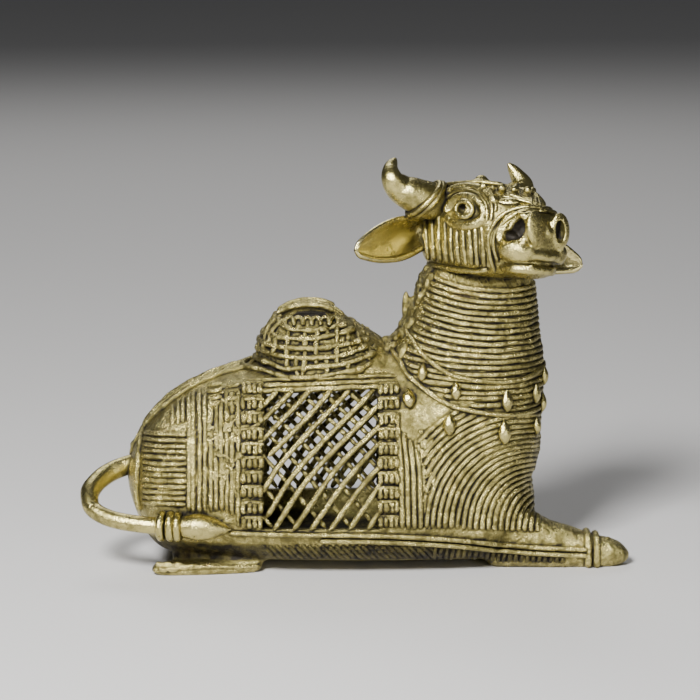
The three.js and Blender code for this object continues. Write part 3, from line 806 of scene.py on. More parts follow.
def rump_threads(size):
    skin, chance = shared["skin"], random.Random(3)
    threads = Threads("rump_threads", 11)
    for laid in (haunch_threads, rump_columns, rump_stitches):
        laid(threads, skin, chance, size)
    spine = seen_line(skin, SPINE_CORD, FINE_STEP)
    both_sides(threads, skin, spine, SPINE_CORD_WIDTH, 0.15, uneven=0.1)
    for y, diameter, uneven in RUMP_RIDGE_CORDS:
        threads.lay(ridge_line(skin, RUMP_RIDGE, y), diameter, 0.1, uneven=uneven)
    return threads.made()


# The lattice in the view: its outer rods, then the heads and the run of the rods that cross behind them.
LATTICE_RODS = (
    ((256, 413), (278, 391)), ((250, 428), (259, 424), (293.5, 390)), ((258, 444.5), (290, 412), (314, 386)),
    ((268.5, 456), (305, 420), (331.5, 390)), ((262, 493), (286, 457), (349.7, 390)),
    ((266.5, 517), (300, 467), (373.6, 390)), ((274, 530), (310.7, 475.8), (379.5, 404)),
    ((293.5, 530), (337, 468), (380.5, 425)), ((310.7, 530), (347.5, 479), (380.5, 442)),
    ((330.2, 530), (358.4, 491), (381, 465)), ((349.7, 529), (381, 483.5)), ((368, 529), (381, 510)),
)
BACK_ROD_HEADS = (139, 165, 192.5, 218.7, 244.7, 270.8, 296.4, 319, 345.4, 371)
BACK_ROD_RUN = ((0, 386), (66.5, 452), (133, 529))
WINDOW_SIDE_LAP, WINDOW_SILL_LAP = 1.2, 1  # how far the inner rods go on beyond the window
BACK_ROD_WIDTH, BACK_ROD_LIFT = 0.8, -1.1


def in_window(point):
    """Whether a point of the skin is in the lattice's window or just beside it."""
    across = WINDOW["rear"] - WINDOW_SIDE_LAP < point.x < WINDOW["front"] + WINDOW_SIDE_LAP
    return across and point.z > WINDOW["sill"] - WINDOW_SILL_LAP


def lattice(size):
    skin = shared["skin"]
    threads = Threads("lattice_rods", 21)
    for knots in LATTICE_RODS:
        both_sides(threads, skin, seen_line(skin, knots), size.rod, 0.0, uneven=0.07)
    for head in BACK_ROD_HEADS:
        knots = [(head + run, y) for run, y in BACK_ROD_RUN]
        line = [spot for spot in seen_line(skin, knots) if in_window(spot[0])]
        both_sides(threads, skin, line, size.rod * BACK_ROD_WIDTH, BACK_ROD_LIFT, uneven=0.14)
    return threads.made()


# The woven bands beside the lattice in the view: px of the stitches in a row, and the rows' levels.
BAND_COLUMNS = ((244.3, 249.7, 255.4, 260.6), (380.8, 386, 391.3, 396.4))
BAND_TOP, BAND_PITCH, BAND_ROWS = 384.5, 14.7, 10
PROUD_ROWS, PROUD_LIFT, FLAT_LIFT = 5, 0.3, 0.05
STITCH_LENGTHS = (9.3, 10.8)
HEAD_ROWS = (377.5, 383, 388)
HEAD_KNOTS = ((244, 3.5), (300, 1.5), (350, -0.5), (397, -1.5))  # px, and how far below its row
FRONT_COLUMNS = ((397.5, 425), (403.5, 433), (409.5, 440), (415.5, 449))
FRONT_COLUMN_RUN = ((3.5, 470), (4.8, 528))


def stitch(threads, skin, chance, px, y, diameter):
    """A short upright stitch that arches off the skin."""
    x, tip = px + shake(chance, 0.6), y + chance.uniform(*STITCH_LENGTHS)
    knots = [(x, y + 0.4), (x + shake(chance, 0.6), (y + tip) / 2), (x, tip)]
    line = seen_line(skin, knots, 1.1)
    arched = [(point + outward * 0.5 * math.sin(math.pi * (i + 1) / (len(line) + 1)), outward)
              for i, (point, outward) in enumerate(line)]
    both_sides(threads, skin, arched, diameter, -0.15, uneven=0.2)


def bands(size):
    """The woven bands, rows of short stitches under a level thread, and the threads round the lattice."""
    skin, chance = shared["skin"], random.Random(8)
    threads = Threads("border_bands", 31)
    for columns in BAND_COLUMNS:
        for row in range(BAND_ROWS):
            y = BAND_TOP + BAND_PITCH * row + shake(chance, 0.8)
            lift = PROUD_LIFT if row < PROUD_ROWS else FLAT_LIFT
            knots = [(columns[0] - 3, y + 0.8), (columns[1] + 3, y), (columns[-1] + 3.2, y + 0.7)]
            level = seen_line(skin, knots, FINE_STEP)
            both_sides(threads, skin, level, size.thread * 0.8, lift, uneven=0.16)
            for px in columns:
                stitch(threads, skin, chance, px, y, size.thread * 1.02)
    for y in HEAD_ROWS:
        line = seen_line(skin, [(px, y + below) for px, below in HEAD_KNOTS])
        both_sides(threads, skin, line, size.thread, 0.05, uneven=0.14, sink=0.3)
    for px, y in FRONT_COLUMNS:
        line = seen_line(skin, [(px, y), *((px + run, level) for run, level in FRONT_COLUMN_RUN)])
        both_sides(threads, skin, line, size.thread * 1.05, 0.1, uneven=0.07)
    return threads.made()


def inside(polygon, x, y):
    """Whether a place in the view lies inside a drawn outline."""
    crossings = False
    for (x0, y0), (x1, y1) in zip(polygon, (*polygon[1:], polygon[0])):
        if (y0 > y) != (y1 > y) and x < (x1 - x0) * (y - y0) / (y1 - y0) + x0:
            crossings = not crossings
    return crossings


ROUND_PARTS = 12
OUTSIDE = 30  # millimetres from the middle, beyond the skin


def carried_round(skin, near, centre):
    """A near line carried on level round the end of the figure that it runs to, and back on the far side."""
    far = other_side(skin, near)
    end = near[-1][0]
    turn = math.atan2(end.y, end.x - centre)
    goal = -turn if end.x > centre else -2 * math.pi - turn
    round_end = []
    for i in range(1, ROUND_PARTS):
        angle = mixed(turn, goal, i / ROUND_PARTS)
        start = Vector((centre + OUTSIDE * math.cos(angle), OUTSIDE * math.sin(angle), end.z))
        point, outward = skin.ray_cast(start, Vector((-math.cos(angle), -math.sin(angle), 0)))[:2]
        if point is not None:
            round_end.append((point, outward))
    return [*near, *round_end, *reversed(far)]


# The shoulder in the view: its outline, and the arcs of threads round the chest.
SHOULDER = ((418, 443), (424, 470), (426, 535), (560, 560), (575, 430), (545, 402), (530, 412),
            (501, 417), (471, 414), (448, 404), (436, 415))
CHEST_CENTRE = (541, 533)
CHEST_ARCS, CHEST_ARC_PITCH = 25, 1.06
INNER_ARC = 4  # half width of the first arc
ROUND_ARCS, ROUND_ARC_SPAN = 16, 15.5  # beyond them the arcs grow in height as in width
INNER_ARC_HEIGHT, ROUND_ARC_HEIGHT = 23, 95
OUTER_ARC_GROWTH = 0.85
ARC_START, ARC_END, ARC_PARTS, ARC_POWER = 2, 96, 60, 2.25  # degrees, and their roundness
HEM_START, HEM_LEVEL, HEM_SLOPE = 430, 531, 0.12
# An arc is carried on round the chest if it ends beyond this px, and nearer to the middle than this y.
CHEST_FRONT, CHEST_FRONT_Y = 528, -9
FEWEST_PLACES, FEWEST_POINTS = 5, 4


def chest_arc(across, high):
    """Places in the view along one arc of the chest."""
    cx, cy = CHEST_CENTRE
    arc = []
    for i in range(ARC_PARTS + 1):
        angle = math.radians(mixed(ARC_START, ARC_END, i / ARC_PARTS))
        arc.append((cx - across * rounded(math.cos(angle), ARC_POWER),
                    cy - high * rounded(math.sin(angle), ARC_POWER)))
    return arc


def stretches(arc):
    """The parts of an arc that lie on the shoulder and above the hem."""
    runs = [[]]
    for x, y in arc:
        if inside(SHOULDER, x, y) and y < HEM_LEVEL + (x - HEM_START) * HEM_SLOPE:
            runs[-1].append((x, y))
        elif runs[-1]:
            runs.append([])
    return [run for run in runs if len(run) >= FEWEST_PLACES]


def chest_threads(size):
    skin = shared["skin"]
    threads = Threads("chest_threads", 41)
    pitch = size.thread_pitch * VIEW_SCALE * CHEST_ARC_PITCH
    for k in range(CHEST_ARCS):
        high = mixed(INNER_ARC_HEIGHT, ROUND_ARC_HEIGHT, min(k, ROUND_ARCS) / ROUND_ARC_SPAN)
        high += max(0, k - ROUND_ARCS) * pitch * OUTER_ARC_GROWTH
        for run in stretches(chest_arc(INNER_ARC + k * pitch, high)):
            line = seen_line(skin, run)
            if len(line) < FEWEST_POINTS:
                continue
            end = line[-1][0]
            if run[-1][0] > CHEST_FRONT and end.y > CHEST_FRONT_Y:
                middle = (NECK_FRONT(end.z) + NECK_BACK(end.z)) / 2
                threads.lay(carried_round(skin, line, middle), size.thread, 0.0, uneven=0.08, sink=0.2)
            else:
                both_sides(threads, skin, line, size.thread, 0.0, uneven=0.09, sink=0.2)
    return threads.made()


# Height of each necklace by the degrees from the front of the chest.
NECKLACE_HEIGHTS = (
    outline((0, 43.2), (24.5, 42.5), (38, 41.8), (54, 41.3), (72, 41.5), (87, 42.3), (99, 43.4),
            (113, 45.7), (128, 47.8), (143, 49.8), (180, 52.5)),
    outline((0, 34.6), (29, 34.15), (45, 34.1), (62, 34.55), (78, 35.4), (92, 36.6), (104.5, 38.6),
            (118, 41.1), (129, 42.9), (140, 45.4), (180, 48.5)),
)
# Rough patches of the casting: the corners of each in the view, its lumps and their size.
ROUGH_PATCHES = (
    (((420, 431), (433, 440), (437, 470), (430, 505), (421, 500)), 80, 0.42),
    (((207, 392), (236, 380), (238, 450), (222, 500), (207, 470)), 90, 0.42),
    (((352, 320), (366, 330), (378, 343), (376, 352), (362, 340)), 45, 0.3),
)
# Lumps along the hind foot: px, py, half length and half height.
FOOT_LUMPS = (
    (159, 565, 0.9, 0.8), (163.5, 569.5, 1.1, 0.7), (168, 564.5, 1.0, 0.7), (173, 569, 1.2, 0.8),
    (178, 565, 1.2, 0.6), (184, 567.5, 1.4, 0.7), (192, 566, 1.6, 0.5), (203, 567, 1.6, 0.4),
)
FOOT_LUMP_HEIGHT, LUMP_LIFT, LUMPS_VOXEL = 0.7, 0.1, 0.24


def casting_lumps():
    """Specks and runs of metal that the casting left on the skin."""
    skin, chance = shared["skin"], random.Random(91)
    bm = bmesh.new()
    for corners, count, radius in ROUGH_PATCHES:
        xs, ys = [x for x, _ in corners], [y for _, y in corners]
        while count:
            px, py = chance.uniform(min(xs), max(xs)), chance.uniform(min(ys), max(ys))
            if not inside(corners, px, py):
                continue
            count -= 1
            r = radius * chance.uniform(0.6, 1.3)
            for spot in both(skin, *seen_spot(skin, px, py)):
                radii = (r * chance.uniform(0.7, 1.5), r * chance.uniform(0.7, 1.7), r * 0.7)
                lump(bm, spot, radii, LUMP_LIFT)
    for px, py, long, high in FOOT_LUMPS:
        for spot in both(skin, *seen_spot(skin, px, py)):
            lump(bm, spot, (long, high, FOOT_LUMP_HEIGHT), LUMP_LIFT)
    return remeshed(new_object("casting_lumps", bm), LUMPS_VOXEL, 1)


def on_neck(skin, z, angle):
    """The point on the skin at a height and an angle round the neck, and the way out of it there."""
    return skin.find_nearest(neck_point(z, angle))[:2]


NECK_RINGS_TOP, NECK_RINGS_FOOT = 62.2, 35.5
NECK_RING_REACH, NECK_RING_STEPS = 150, 76  # degrees to each side of the chest, and steps over them
SAG_FRONT, SAG_SIDES = 1.5, 1.2
NECKLACE_GAP = 0.9
# Fine wires under the head: their lower and upper ends, and how many degrees they lean.
WIRES = ((59, 61.6, 12), (61, 64, -10), (63, 65.4, 7))
WIRE_REACH, WIRE_GAP, WIRE_WIDTH = 140, 9, 0.3


def neck_rings(threads, skin, size):
    """Rings of thread round the neck, from the head down to the lower necklace."""
    z = NECK_RINGS_TOP
    while z > NECK_RINGS_FOOT:
        line = []
        for step in range(-NECK_RING_STEPS, NECK_RING_STEPS + 1):
            angle = math.radians(NECK_RING_REACH * step / NECK_RING_STEPS)
            sag = SAG_FRONT * math.cos(angle) + SAG_SIDES * math.sin(angle) ** 2
            height = z - sag + 0.3 * noise.noise(Vector((step * 0.09, z, 0)))
            if height > NECKLACE_HEIGHTS[1](abs(math.degrees(angle))) + NECKLACE_GAP:
                line.append(on_neck(skin, height, angle))
            elif line:
                threads.lay(line, size.thread, 0.0, uneven=0.1, sink=0.25)
                line = []
        threads.lay(line, size.thread, 0.0, uneven=0.1, sink=0.25)
        z -= size.thread_pitch


def neck_wires(threads, skin, size):
    """Fine leaning wires round the neck under the head."""
    chance = random.Random(5)
    for low, high, lean in WIRES:
        for degrees in range(-WIRE_REACH, WIRE_REACH + 1, WIRE_GAP):
            foot, tip = math.radians(degrees + shake(chance, 1.5)), math.radians(degrees + lean)
            z_low = low - SAG_FRONT * math.cos(foot) + shake(chance, 0.5)
            line = [on_neck(skin, mixed(z_low, z_low + high - low, t / 5), mixed(foot, tip, t / 5))
                    for t in range(6)]
            threads.lay(line, size.thread * WIRE_WIDTH, -0.08, uneven=0.2)


def neck_threads(size):
    threads = Threads("neck_threads", 51)
    neck_rings(threads, shared["skin"], size)
    neck_wires(threads, shared["skin"], size)
    return threads.made()


MANE_LUMPS, MANE_VOXEL = 170, 0.32
MANE_FOOT, MANE_TOP = 45, 66
MANE_SPREAD_FOOT, MANE_SPREAD_TOP = 20, 33  # degrees to each side
MANE_TAB = (((10.5, 0, 55.2), (0.9, 0.9, 3.8)), ((11.2, 0, 52.6), (1.5, 1, 1.6)))
SHOULDER_KNOT, SHOULDER_KNOT_RADII = (404, 352), (0.95, 2.2, 0.9)


def mane():
    """The rough ridge down the back of the neck, with a thin tab standing out of it."""
    skin, chance = shared["skin"], random.Random(77)
    bm = bmesh.new()
    for _ in range(MANE_LUMPS):
        z = chance.uniform(MANE_FOOT, MANE_TOP)
        spread = mixed(MANE_SPREAD_FOOT, MANE_SPREAD_TOP, (z - MANE_FOOT) / (MANE_TOP - MANE_FOOT))
        turn = 180 + chance.uniform(-1, 1) * spread
        point, outward = on_neck(skin, z, math.radians(turn))
        radius = chance.uniform(0.5, 1.15)
        centre = point + outward * chance.uniform(-0.35, 0.25)
        ellipsoid(bm, centre, (radius, radius, radius * 1.25))
    for centre, radii in MANE_TAB:
        ellipsoid(bm, centre, radii)
    for spot in both(skin, *seen_spot(skin, *SHOULDER_KNOT)):
        lump(bm, spot, SHOULDER_KNOT_RADII, 0.2)
    return remeshed(new_object("mane", bm), MANE_VOXEL, 1)


# The net over the hump in the view: rows, columns, the arcs behind the hump and the crescent over it.
HUMP_ROWS = (
    ((278, 319), (283, 325), (291.7, 330), (308, 331.3), (325, 330), (335, 327.5), (346, 326)),
    ((266.7, 334), (283, 338), (305, 339.3), (317, 338.5), (335, 335.5), (345, 333), (354, 330)),
    ((263, 341.7), (280, 347), (305, 348.7), (317, 348.7), (336.7, 346.3), (350, 344), (362, 341)),
    ((261.7, 349), (275, 354.5), (300, 358), (317, 358), (336.7, 356.7), (350, 353), (366.7, 346.7)),
    ((260, 360), (271.7, 363), (286.7, 369), (313, 367), (340, 365), (356.7, 360), (375, 353)),
    ((260, 370), (283, 376.3), (300, 377.8), (317, 377), (336.7, 373.3), (356.7, 370), (370, 363)),
)
HUMP_COLUMNS = (
    ((277.5, 336), (276, 346), (273, 356)), ((289, 330), (288.5, 341), (288, 357), (288, 369)),
    ((305, 331), (305.5, 344), (305, 358), (303, 377)), ((317, 331), (317, 344), (317, 358), (316, 366)),
    ((327, 330), (328, 338)), ((336, 328), (336.5, 343), (337, 357), (337, 364)),
    ((347, 327), (348.5, 341), (350, 353)), ((357, 333), (360, 343), (363, 349)), ((366, 352), (368, 360)),
    ((297, 358), (296, 368), (299, 377)), ((325, 358), (327, 366), (326, 375)), ((347, 362), (349, 371)),
)
HUMP_ARCS = (
    ((261, 352), (261.5, 336), (268, 322), (279, 311), (294, 305)),
    ((265, 349), (267, 335), (273, 324), (283, 316)),
    ((270, 346), (272, 335), (277, 327), (287, 320)),
)
CRESCENT = ((279.5, 316), (283, 312.8), (291.7, 309.3), (300, 307.6), (310, 307.2), (321.7, 308.2),
            (333, 312.8))
SCALLOP_STARTS = (286, 294.6, 303.2, 311.8, 320.4, 329)
SCALLOP = ((0, 326.5), (0.8, 320.5), (4.3, 318.3), (7.8, 320.5), (8.6, 326.5))  # from its start, and py
HUMP_MIDDLE = -7  # x of the upright line that the rows turn round
# The ridge over the hump: x and z of its places. Each of its cords has a y and a lift.
HUMP_RIDGE = ((-24, 45), (-23.6, 49), (-21, 54), (-16, 57.5), (-10.6, 59), (-5, 57.6), (-1.6, 55.6))
HUMP_RIDGE_CORDS = ((-1.6, -0.25), (0, -0.15), (1.6, -0.25))


def hump_net(size):
    """Wide meshes over the hump, scallops under its crescent and ridges over its top."""
    skin, chance = shared["skin"], random.Random(14)
    threads = Threads("hump_net", 61)
    for knots in HUMP_ROWS:
        line = seen_line(skin, knots, 1.8)
        round_rear = carried_round(skin, line[::-1], HUMP_MIDDLE)
        threads.lay(round_rear, size.thread * 1.05, 0.25, uneven=0.28)
    for knots in HUMP_COLUMNS:
        shaken = [(x + shake(chance, 0.8), y) for x, y in knots]
        both_sides(threads, skin, seen_line(skin, shaken, 1.8), size.thread * 0.85, 0.25, uneven=0.3)
    for start in SCALLOP_STARTS:
        loop = seen_line(skin, [(start + along, y) for along, y in SCALLOP], 1.4)
        both_sides(threads, skin, loop, size.thread * 0.72, 0.3, uneven=0.2)
    for knots in HUMP_ARCS:
        line = seen_line(skin, knots, FINE_STEP)
        both_sides(threads, skin, line, size.thread * 0.9, 0.25, uneven=0.15)
    crescent = seen_line(skin, CRESCENT, FINE_STEP)
    both_sides(threads, skin, crescent, size.thread * 1.05, 0.55, uneven=0.05)
    for y, lift in HUMP_RIDGE_CORDS:
        threads.lay(ridge_line(skin, HUMP_RIDGE, y), size.thread * 0.95, lift, uneven=0.24)
    return threads.made()


# The foot of the flank in the view: the upper of its two cords, the ridge over the hoof and the foot's edge.
HEM = ((229, 532.5), (270, 534), (320, 534.8), (380, 535.6), (445, 538.8), (490, 543), (532, 547),
       (590, 549.8))
LOWER_HEM_DROP, LOWER_HEM_START = 5.8, 2  # the lower cord starts at the third place
FAR_HEM_END = 41  # x at which the far cords end, in millimetres
HOOF_RIDGE = ((605, 539), (613, 538), (621, 541.5), (627, 548), (630, 554))
FOOT_EDGE = ((188, 568), (210, 566.5), (235, 567), (262, 566))
HOOF_RIDGE_WIDTH, FOOT_EDGE_WIDTH = 1.5, 0.9
# The anklet's rings: x of each, their thickness and the height of their middle.
ANKLET_RINGS, ANKLET_WIDTH, ANKLET_CENTRE = (49.9, 51.8), 1.7, 4.4


def cords(size):
    """The paired cord along the foot of the flank and the anklet's rings."""
    skin = shared["skin"]
    threads = Threads("hem_cords", 71)
    for drop, start in ((0, 0), (LOWER_HEM_DROP, LOWER_HEM_START)):
        line = seen_line(skin, [(x, y + drop) for x, y in HEM[start:]])
        threads.lay(line, size.cord, 0.3, uneven=0.06, floor=0.0)
        far = [spot for spot in other_side(skin, line) if spot[0].x < FAR_HEM_END]
        threads.lay(far, size.cord, 0.3, uneven=0.06, floor=0.0)
    for x in ANKLET_RINGS:
        ring = []
        for step in range(48):
            point = STRETCHED_LEG.point(x, step / 48 * 2 * math.pi)
            ring.append((point, (point - Vector((x, STRETCHED_LEG.middle, ANKLET_CENTRE))).normalized()))
        threads.lay(ring, ANKLET_WIDTH, 0.0, closed=True, uneven=0.03, floor=0.0)
    threads.lay(seen_line(skin, HOOF_RIDGE, FINE_STEP), HOOF_RIDGE_WIDTH, -0.35, uneven=0.05)
    edge = seen_line(skin, FOOT_EDGE, FINE_STEP)
    both_sides(threads, skin, edge, FOOT_EDGE_WIDTH, 0.0, uneven=0.25, floor=0.0)
    return threads.made()


# The threads under the cords in the view: upright ones before the flank, leaning ones along it.
BREAST_COLUMNS, BREAST_TOP, BREAST_SLOPE, BREAST_LOWEST = (436, 566), 545.5, 0.07, 562
BELLY_COLUMNS, BELLY_RUN = (262, 430), ((0, 545), (7, 552), (15, 559))
BELLY_PITCH = 1.15


def belly_threads(size):
    skin, chance = shared["skin"], random.Random(23)
    threads = Threads("belly_threads", 81)
    pitch = size.thread_pitch * VIEW_SCALE
    for px in places(*BREAST_COLUMNS, pitch):
        y = BREAST_TOP + (px - BREAST_COLUMNS[0]) * BREAST_SLOPE
        knots = [(px, y), (px - 1.5, y + 7), (px - 2 + shake(chance, 1), min(y + 14, BREAST_LOWEST))]
        line = seen_line(skin, knots, 2)
        both_sides(threads, skin, line, size.thread * 0.8, 0.0, uneven=0.1, floor=0.0)
    for px in places(*BELLY_COLUMNS, pitch * BELLY_PITCH):
        line = seen_line(skin, [(px + run, y) for run, y in BELLY_RUN], 2)
        both_sides(threads, skin, line, size.thread * 0.65, -0.05, uneven=0.15, floor=0.0)
    return threads.made()


# Seeds of the necklaces: px, py, width and length; those on the chest: height, width and length.
SEEDS = (
    (423.4, 372.4, 2.3, 4.2), (456, 390.8, 2.3, 4.2), (505.4, 400.6, 2.5, 5.2), (533.6, 393, 2.3, 4.6),
    (408, 399, 2.9, 4.9), (449.4, 424.4, 2.8, 5.0), (502.5, 432, 3.0, 5.6), (534, 425.5, 2.3, 4.2),
)
FRONT_SEEDS = ((41.2, 2.3, 4.6), (35.2, 2.4, 4.6))
FRONT_SEED_TURN = 14  # degrees to each side of the chest


def seed(bm, point, outward, width, length):
    """A pointed seed that hangs against the skin."""
    down = (outward * outward.z - UP).normalized()
    across = down.cross(outward).normalized()

    def place(t, angle):
        swell = width / 2 * (math.sin(math.pi * t ** 1.15) ** 0.8 if 0 < t < 1 else 0)
        middle = point + outward * (width * 0.28) + down * length * (t - 0.5)
        return middle + across * swell * math.cos(angle) + outward * swell * 0.85 * math.sin(angle)

    loft(bm, [i / 14 for i in range(15)], 16, place)


def necklaces(size):
    skin = shared["skin"]
    threads = Threads("necklace_cords", 91)
    for height in NECKLACE_HEIGHTS:
        line = []
        for step in range(160):
            angle = step / 160 * 2 * math.pi
            folded = abs(math.degrees(angle if angle < math.pi else angle - 2 * math.pi))
            line.append(on_neck(skin, height(folded), angle))
        threads.lay(line, size.cord, 0.35, closed=True, uneven=0.04)
    bm = bmesh.new()
    for px, py, width, length in SEEDS:
        for point, outward in both(skin, *seen_spot(skin, px, py)):
            seed(bm, point, outward, width, length)
    for z, width, length in FRONT_SEEDS:
        for degrees in (-FRONT_SEED_TURN, FRONT_SEED_TURN):
            point, outward = on_neck(skin, z, math.radians(degrees))
            seed(bm, point, outward, width, length)
    return threads.made(), new_object("necklace_seeds", bm)


TAIL_LINE = ((-45, -1, 21.8), (-49.6, -1.6, 20.9), (-54.4, -4, 19.3), (-57.3, -8, 17.3), (-57.8, -11.2, 15.6),
             (-56.6, -14, 13.5), (-51.8, -16.6, 11.9), (-43.2, -18.8, 11.2), (-34, -20, 11.2),
             (-27, -20.4, 10.8))
# Share of the length, and radius as a share of half the tail's diameter: thick root, tassel, and the tip.
TAIL_SHAPE = ((0, 1.25), (0.3, 1.3), (0.4, 1.12), (0.6, 1.12), (0.77, 1.12), (0.81, 1.35), (0.865, 1.75),
              (0.92, 1.5), (0.97, 0.75))
TAIL_TIP_RADIUS = 0.1
TAIL_RINGS = (0.725, 0.034, 3)  # share of the length at the first ring, from ring to ring, and their number
TAIL_RING_WIDTH, TAIL_RING_OUT = 1.8, 0.8


def swelling_rod(name, points, profile, step=0.5, sides=10):
    """A round limb whose radius follows profile over its length, with the line and the lengths along it."""
    line = flowing(points, step)
    lengths = [0.0]
    for a, b in zip(line, line[1:]):
        lengths.append(lengths[-1] + (b - a).length)
    curve = bpy.data.curves.new(name, "CURVE")
    curve.dimensions, curve.bevel_depth, curve.bevel_resolution = "3D", 1, sides
    curve.use_fill_caps = True
    spline = curve.splines.new("POLY")
    spline.points.add(len(line) - 1)
    for i, (knot, point) in enumerate(zip(spline.points, line)):
        share = lengths[i] / lengths[-1]
        knot.co = (*point, 1)
        knot.radius = max(0.02, profile(share) * (1 + 0.03 * noise.noise(Vector((i * 0.15, len(name), 0)))))
    return meshed(curve), line, lengths


def ring_round(line, lengths, share, radius, steps=28, tilt=0.0):
    """(point, outward) pairs of a ring round a line, at a share of its length."""
    at = share * lengths[-1]
    i = min(range(len(lengths)), key=lambda n: abs(lengths[n] - at))
    i = min(max(i, 1), len(line) - 2)
    ahead = (line[i + 1] - line[i - 1]).normalized()
    side = ahead.cross(UP if abs(ahead.z) < 0.9 else AHEAD).normalized()
    over = side.cross(ahead)
    ring = []
    for n in range(steps):
        angle = n / steps * 2 * math.pi
        out = side * math.cos(angle) + over * math.sin(angle)
        ring.append((line[i] + out * radius - ahead * tilt * math.sin(angle), out))
    return ring


def tail(size):
    half = size.tail / 2
    profile = outline(*((share, half * swell) for share, swell in TAIL_SHAPE), (1, TAIL_TIP_RADIUS))
    tube, line, lengths = swelling_rod("tail", TAIL_LINE, profile)
    threads = Threads("tail_rings", 101)
    first, gap, count = TAIL_RINGS
    for n in range(count):
        ring = ring_round(line, lengths, first + n * gap, half + TAIL_RING_OUT)
        threads.lay(ring, TAIL_RING_WIDTH, 0.0, closed=True, uneven=0.06)
    return tube, threads.made()


HORN_LINE = ((-1, 4.5, 77.4), (-2.2, 10.5, 77.8), (-3.9, 14.6, 78.8), (-5, 16.9, 79.8), (-5.3, 19, 81.6),
             (-6.9, 18.4, 83.8), (-7.9, 16.6, 85.9))
HORN_SHAPE = outline((0, 0.9), (0.28, 0.98), (0.48, 0.9), (0.61, 0.76), (0.74, 0.57), (0.87, 0.38),
                     (0.95, 0.24), (1, 0.08))
HORN_RISING = (0, 0.1, 0.3, 0.5, 0.7, 0.9, 1)  # share of the rise at each place of the line
LEFT_HORN_RISE, RISE_INWARD = 1.3, 0.7
WRAPS, WRAP_LEAN, WRAP_OUT = (0.3, 0.345), 2.2, 0.1


def horns(size):
    threads = Threads("horn_wraps", 111)
    bm = bmesh.new()
    for side in (RIGHT, LEFT):
        rise = LEFT_HORN_RISE if side == LEFT else 0
        points = [(x, (y - RISE_INWARD * rise * t) * side, z + rise * t)
                  for t, (x, y, z) in zip(HORN_RISING, HORN_LINE)]
        horn, line, lengths = swelling_rod("horn", points, lambda t: size.horn / 2 * HORN_SHAPE(t), 0.45, 12)
        horn.data.transform(HEAD_PLACE)
        bm.from_mesh(horn.data)
        bpy.data.objects.remove(horn)
        for share in WRAPS:
            ring = ring_round(line, lengths, share, size.horn / 2 + WRAP_OUT, 32, WRAP_LEAN)
            turned = [(HEAD_PLACE @ p, HEAD_PLACE.to_3x3() @ n) for p, n in ring]
            threads.lay(turned, size.thread, 0.0, closed=True, uneven=0.05)
    return new_object("horns", bm), threads.made()


EAR_SPREAD = outline((0, 0.66), (0.12, 0.8), (0.3, 0.98), (0.45, 1.04), (0.6, 0.96), (0.75, 0.78),
                     (0.9, 0.46), (0.97, 0.24), (1, 0))
EAR_CUP = outline((0, 0.7), (0.12, 1.3), (0.35, 1), (0.6, 0.6), (0.85, 0.25), (1, 0))
EARS = ((RIGHT, 0, 15, 1), (LEFT, 38, 11, 1.1))  # side, sweep forward and droop in degrees, and reach
EAR_ROOT = (-4.5, 7.2, 71.4)
EAR_CUP_DEPTH, EAR_THICKNESS = 2.2, 1.0
EAR_RIM_WIDTHS = (1.0, 1.5)  # upper and lower


def ear(size, side, sweep, droop, reach):
    """A pointed leaf that cups forward, with the lines of its upper and lower edges."""
    bm = bmesh.new()
    bmesh.ops.create_grid(bm, x_segments=36, y_segments=20, size=1)

    def leaf(t, v):
        cup = EAR_CUP_DEPTH * (1 - abs(v) ** 2.2) * EAR_CUP(t)
        return Vector((-cup, side * size.ear_length * reach * t, size.ear_width / 2 * EAR_SPREAD(t) * v))

    for vertex in bm.verts:
        vertex.co = leaf((vertex.co.x + 1) / 2, vertex.co.y)
    bmesh.ops.remove_doubles(bm, verts=bm.verts, dist=0.02)
    x, y, z = EAR_ROOT
    place = (HEAD_PLACE @ Matrix.Translation((x, side * y, z))
             @ Matrix.Rotation(math.radians(-sweep), 4, "Z")
             @ Matrix.Rotation(math.radians(-droop) * side, 4, "X"))
    bm.transform(place)
    obj = new_object("ear", bm)
    thick = obj.modifiers.new("Thickness", "SOLIDIFY")
    thick.thickness, thick.offset = EAR_THICKNESS, 0
    soft = obj.modifiers.new("Soft edge", "SUBSURF")
    soft.levels = soft.render_levels = 1
    edges = [[place @ leaf(i / 30, v) for i in range(31)] for v in (1, -1)]
    return settled(obj), edges


def ears(size):
    threads = Threads("ear_rims", 121)
    bm = bmesh.new()
    for pose in EARS:
        leaf, edges = ear(size, *pose)
        bm.from_mesh(leaf.data)
        bpy.data.objects.remove(leaf)
        for edge, diameter in zip(edges, EAR_RIM_WIDTHS):
            threads.lay([(p, UP) for p in edge], diameter, 0.0, uneven=0.06)
    return new_object("ears", bm), threads.made()


# Lines of the harness in the view: diameter, lift off the skull and (px, py) places.
HEAD_LINES = (
    # brow band
    (1.1, 0.35, ((437, 188.5), (449, 186), (463, 184.6), (478, 183.6), (492, 185), (503, 187))),
    (1.0, 0.3, ((437, 195.5), (449, 191.5), (463, 189.5), (478, 187.6))),
    # strips round the eye
    (0.9, 0.2, ((447, 199), (454, 193.5), (463, 191.2), (473, 192), (481, 197), (486, 205), (487.5, 215),
                (486.5, 223))),
    (0.8, 0.2, ((478, 189.5), (486, 194.5), (491.3, 203), (492.3, 213), (491, 221))),
    (0.75, 0.15, ((488, 190), (493.5, 196.5), (496, 205), (496, 212))),
    # upright strips before the noseband
    (0.8, 0.2, ((530.5, 198.5), (532, 207.5))),
    (0.8, 0.2, ((534.5, 198), (536.3, 208))),
    (0.8, 0.2, ((538, 200), (540.5, 208.5))),
    # jaw rim
    (1.35, 0.35, ((421, 259), (431, 263.6), (451, 267.6), (464, 269.2), (477.7, 270), (487.6, 268))),
)
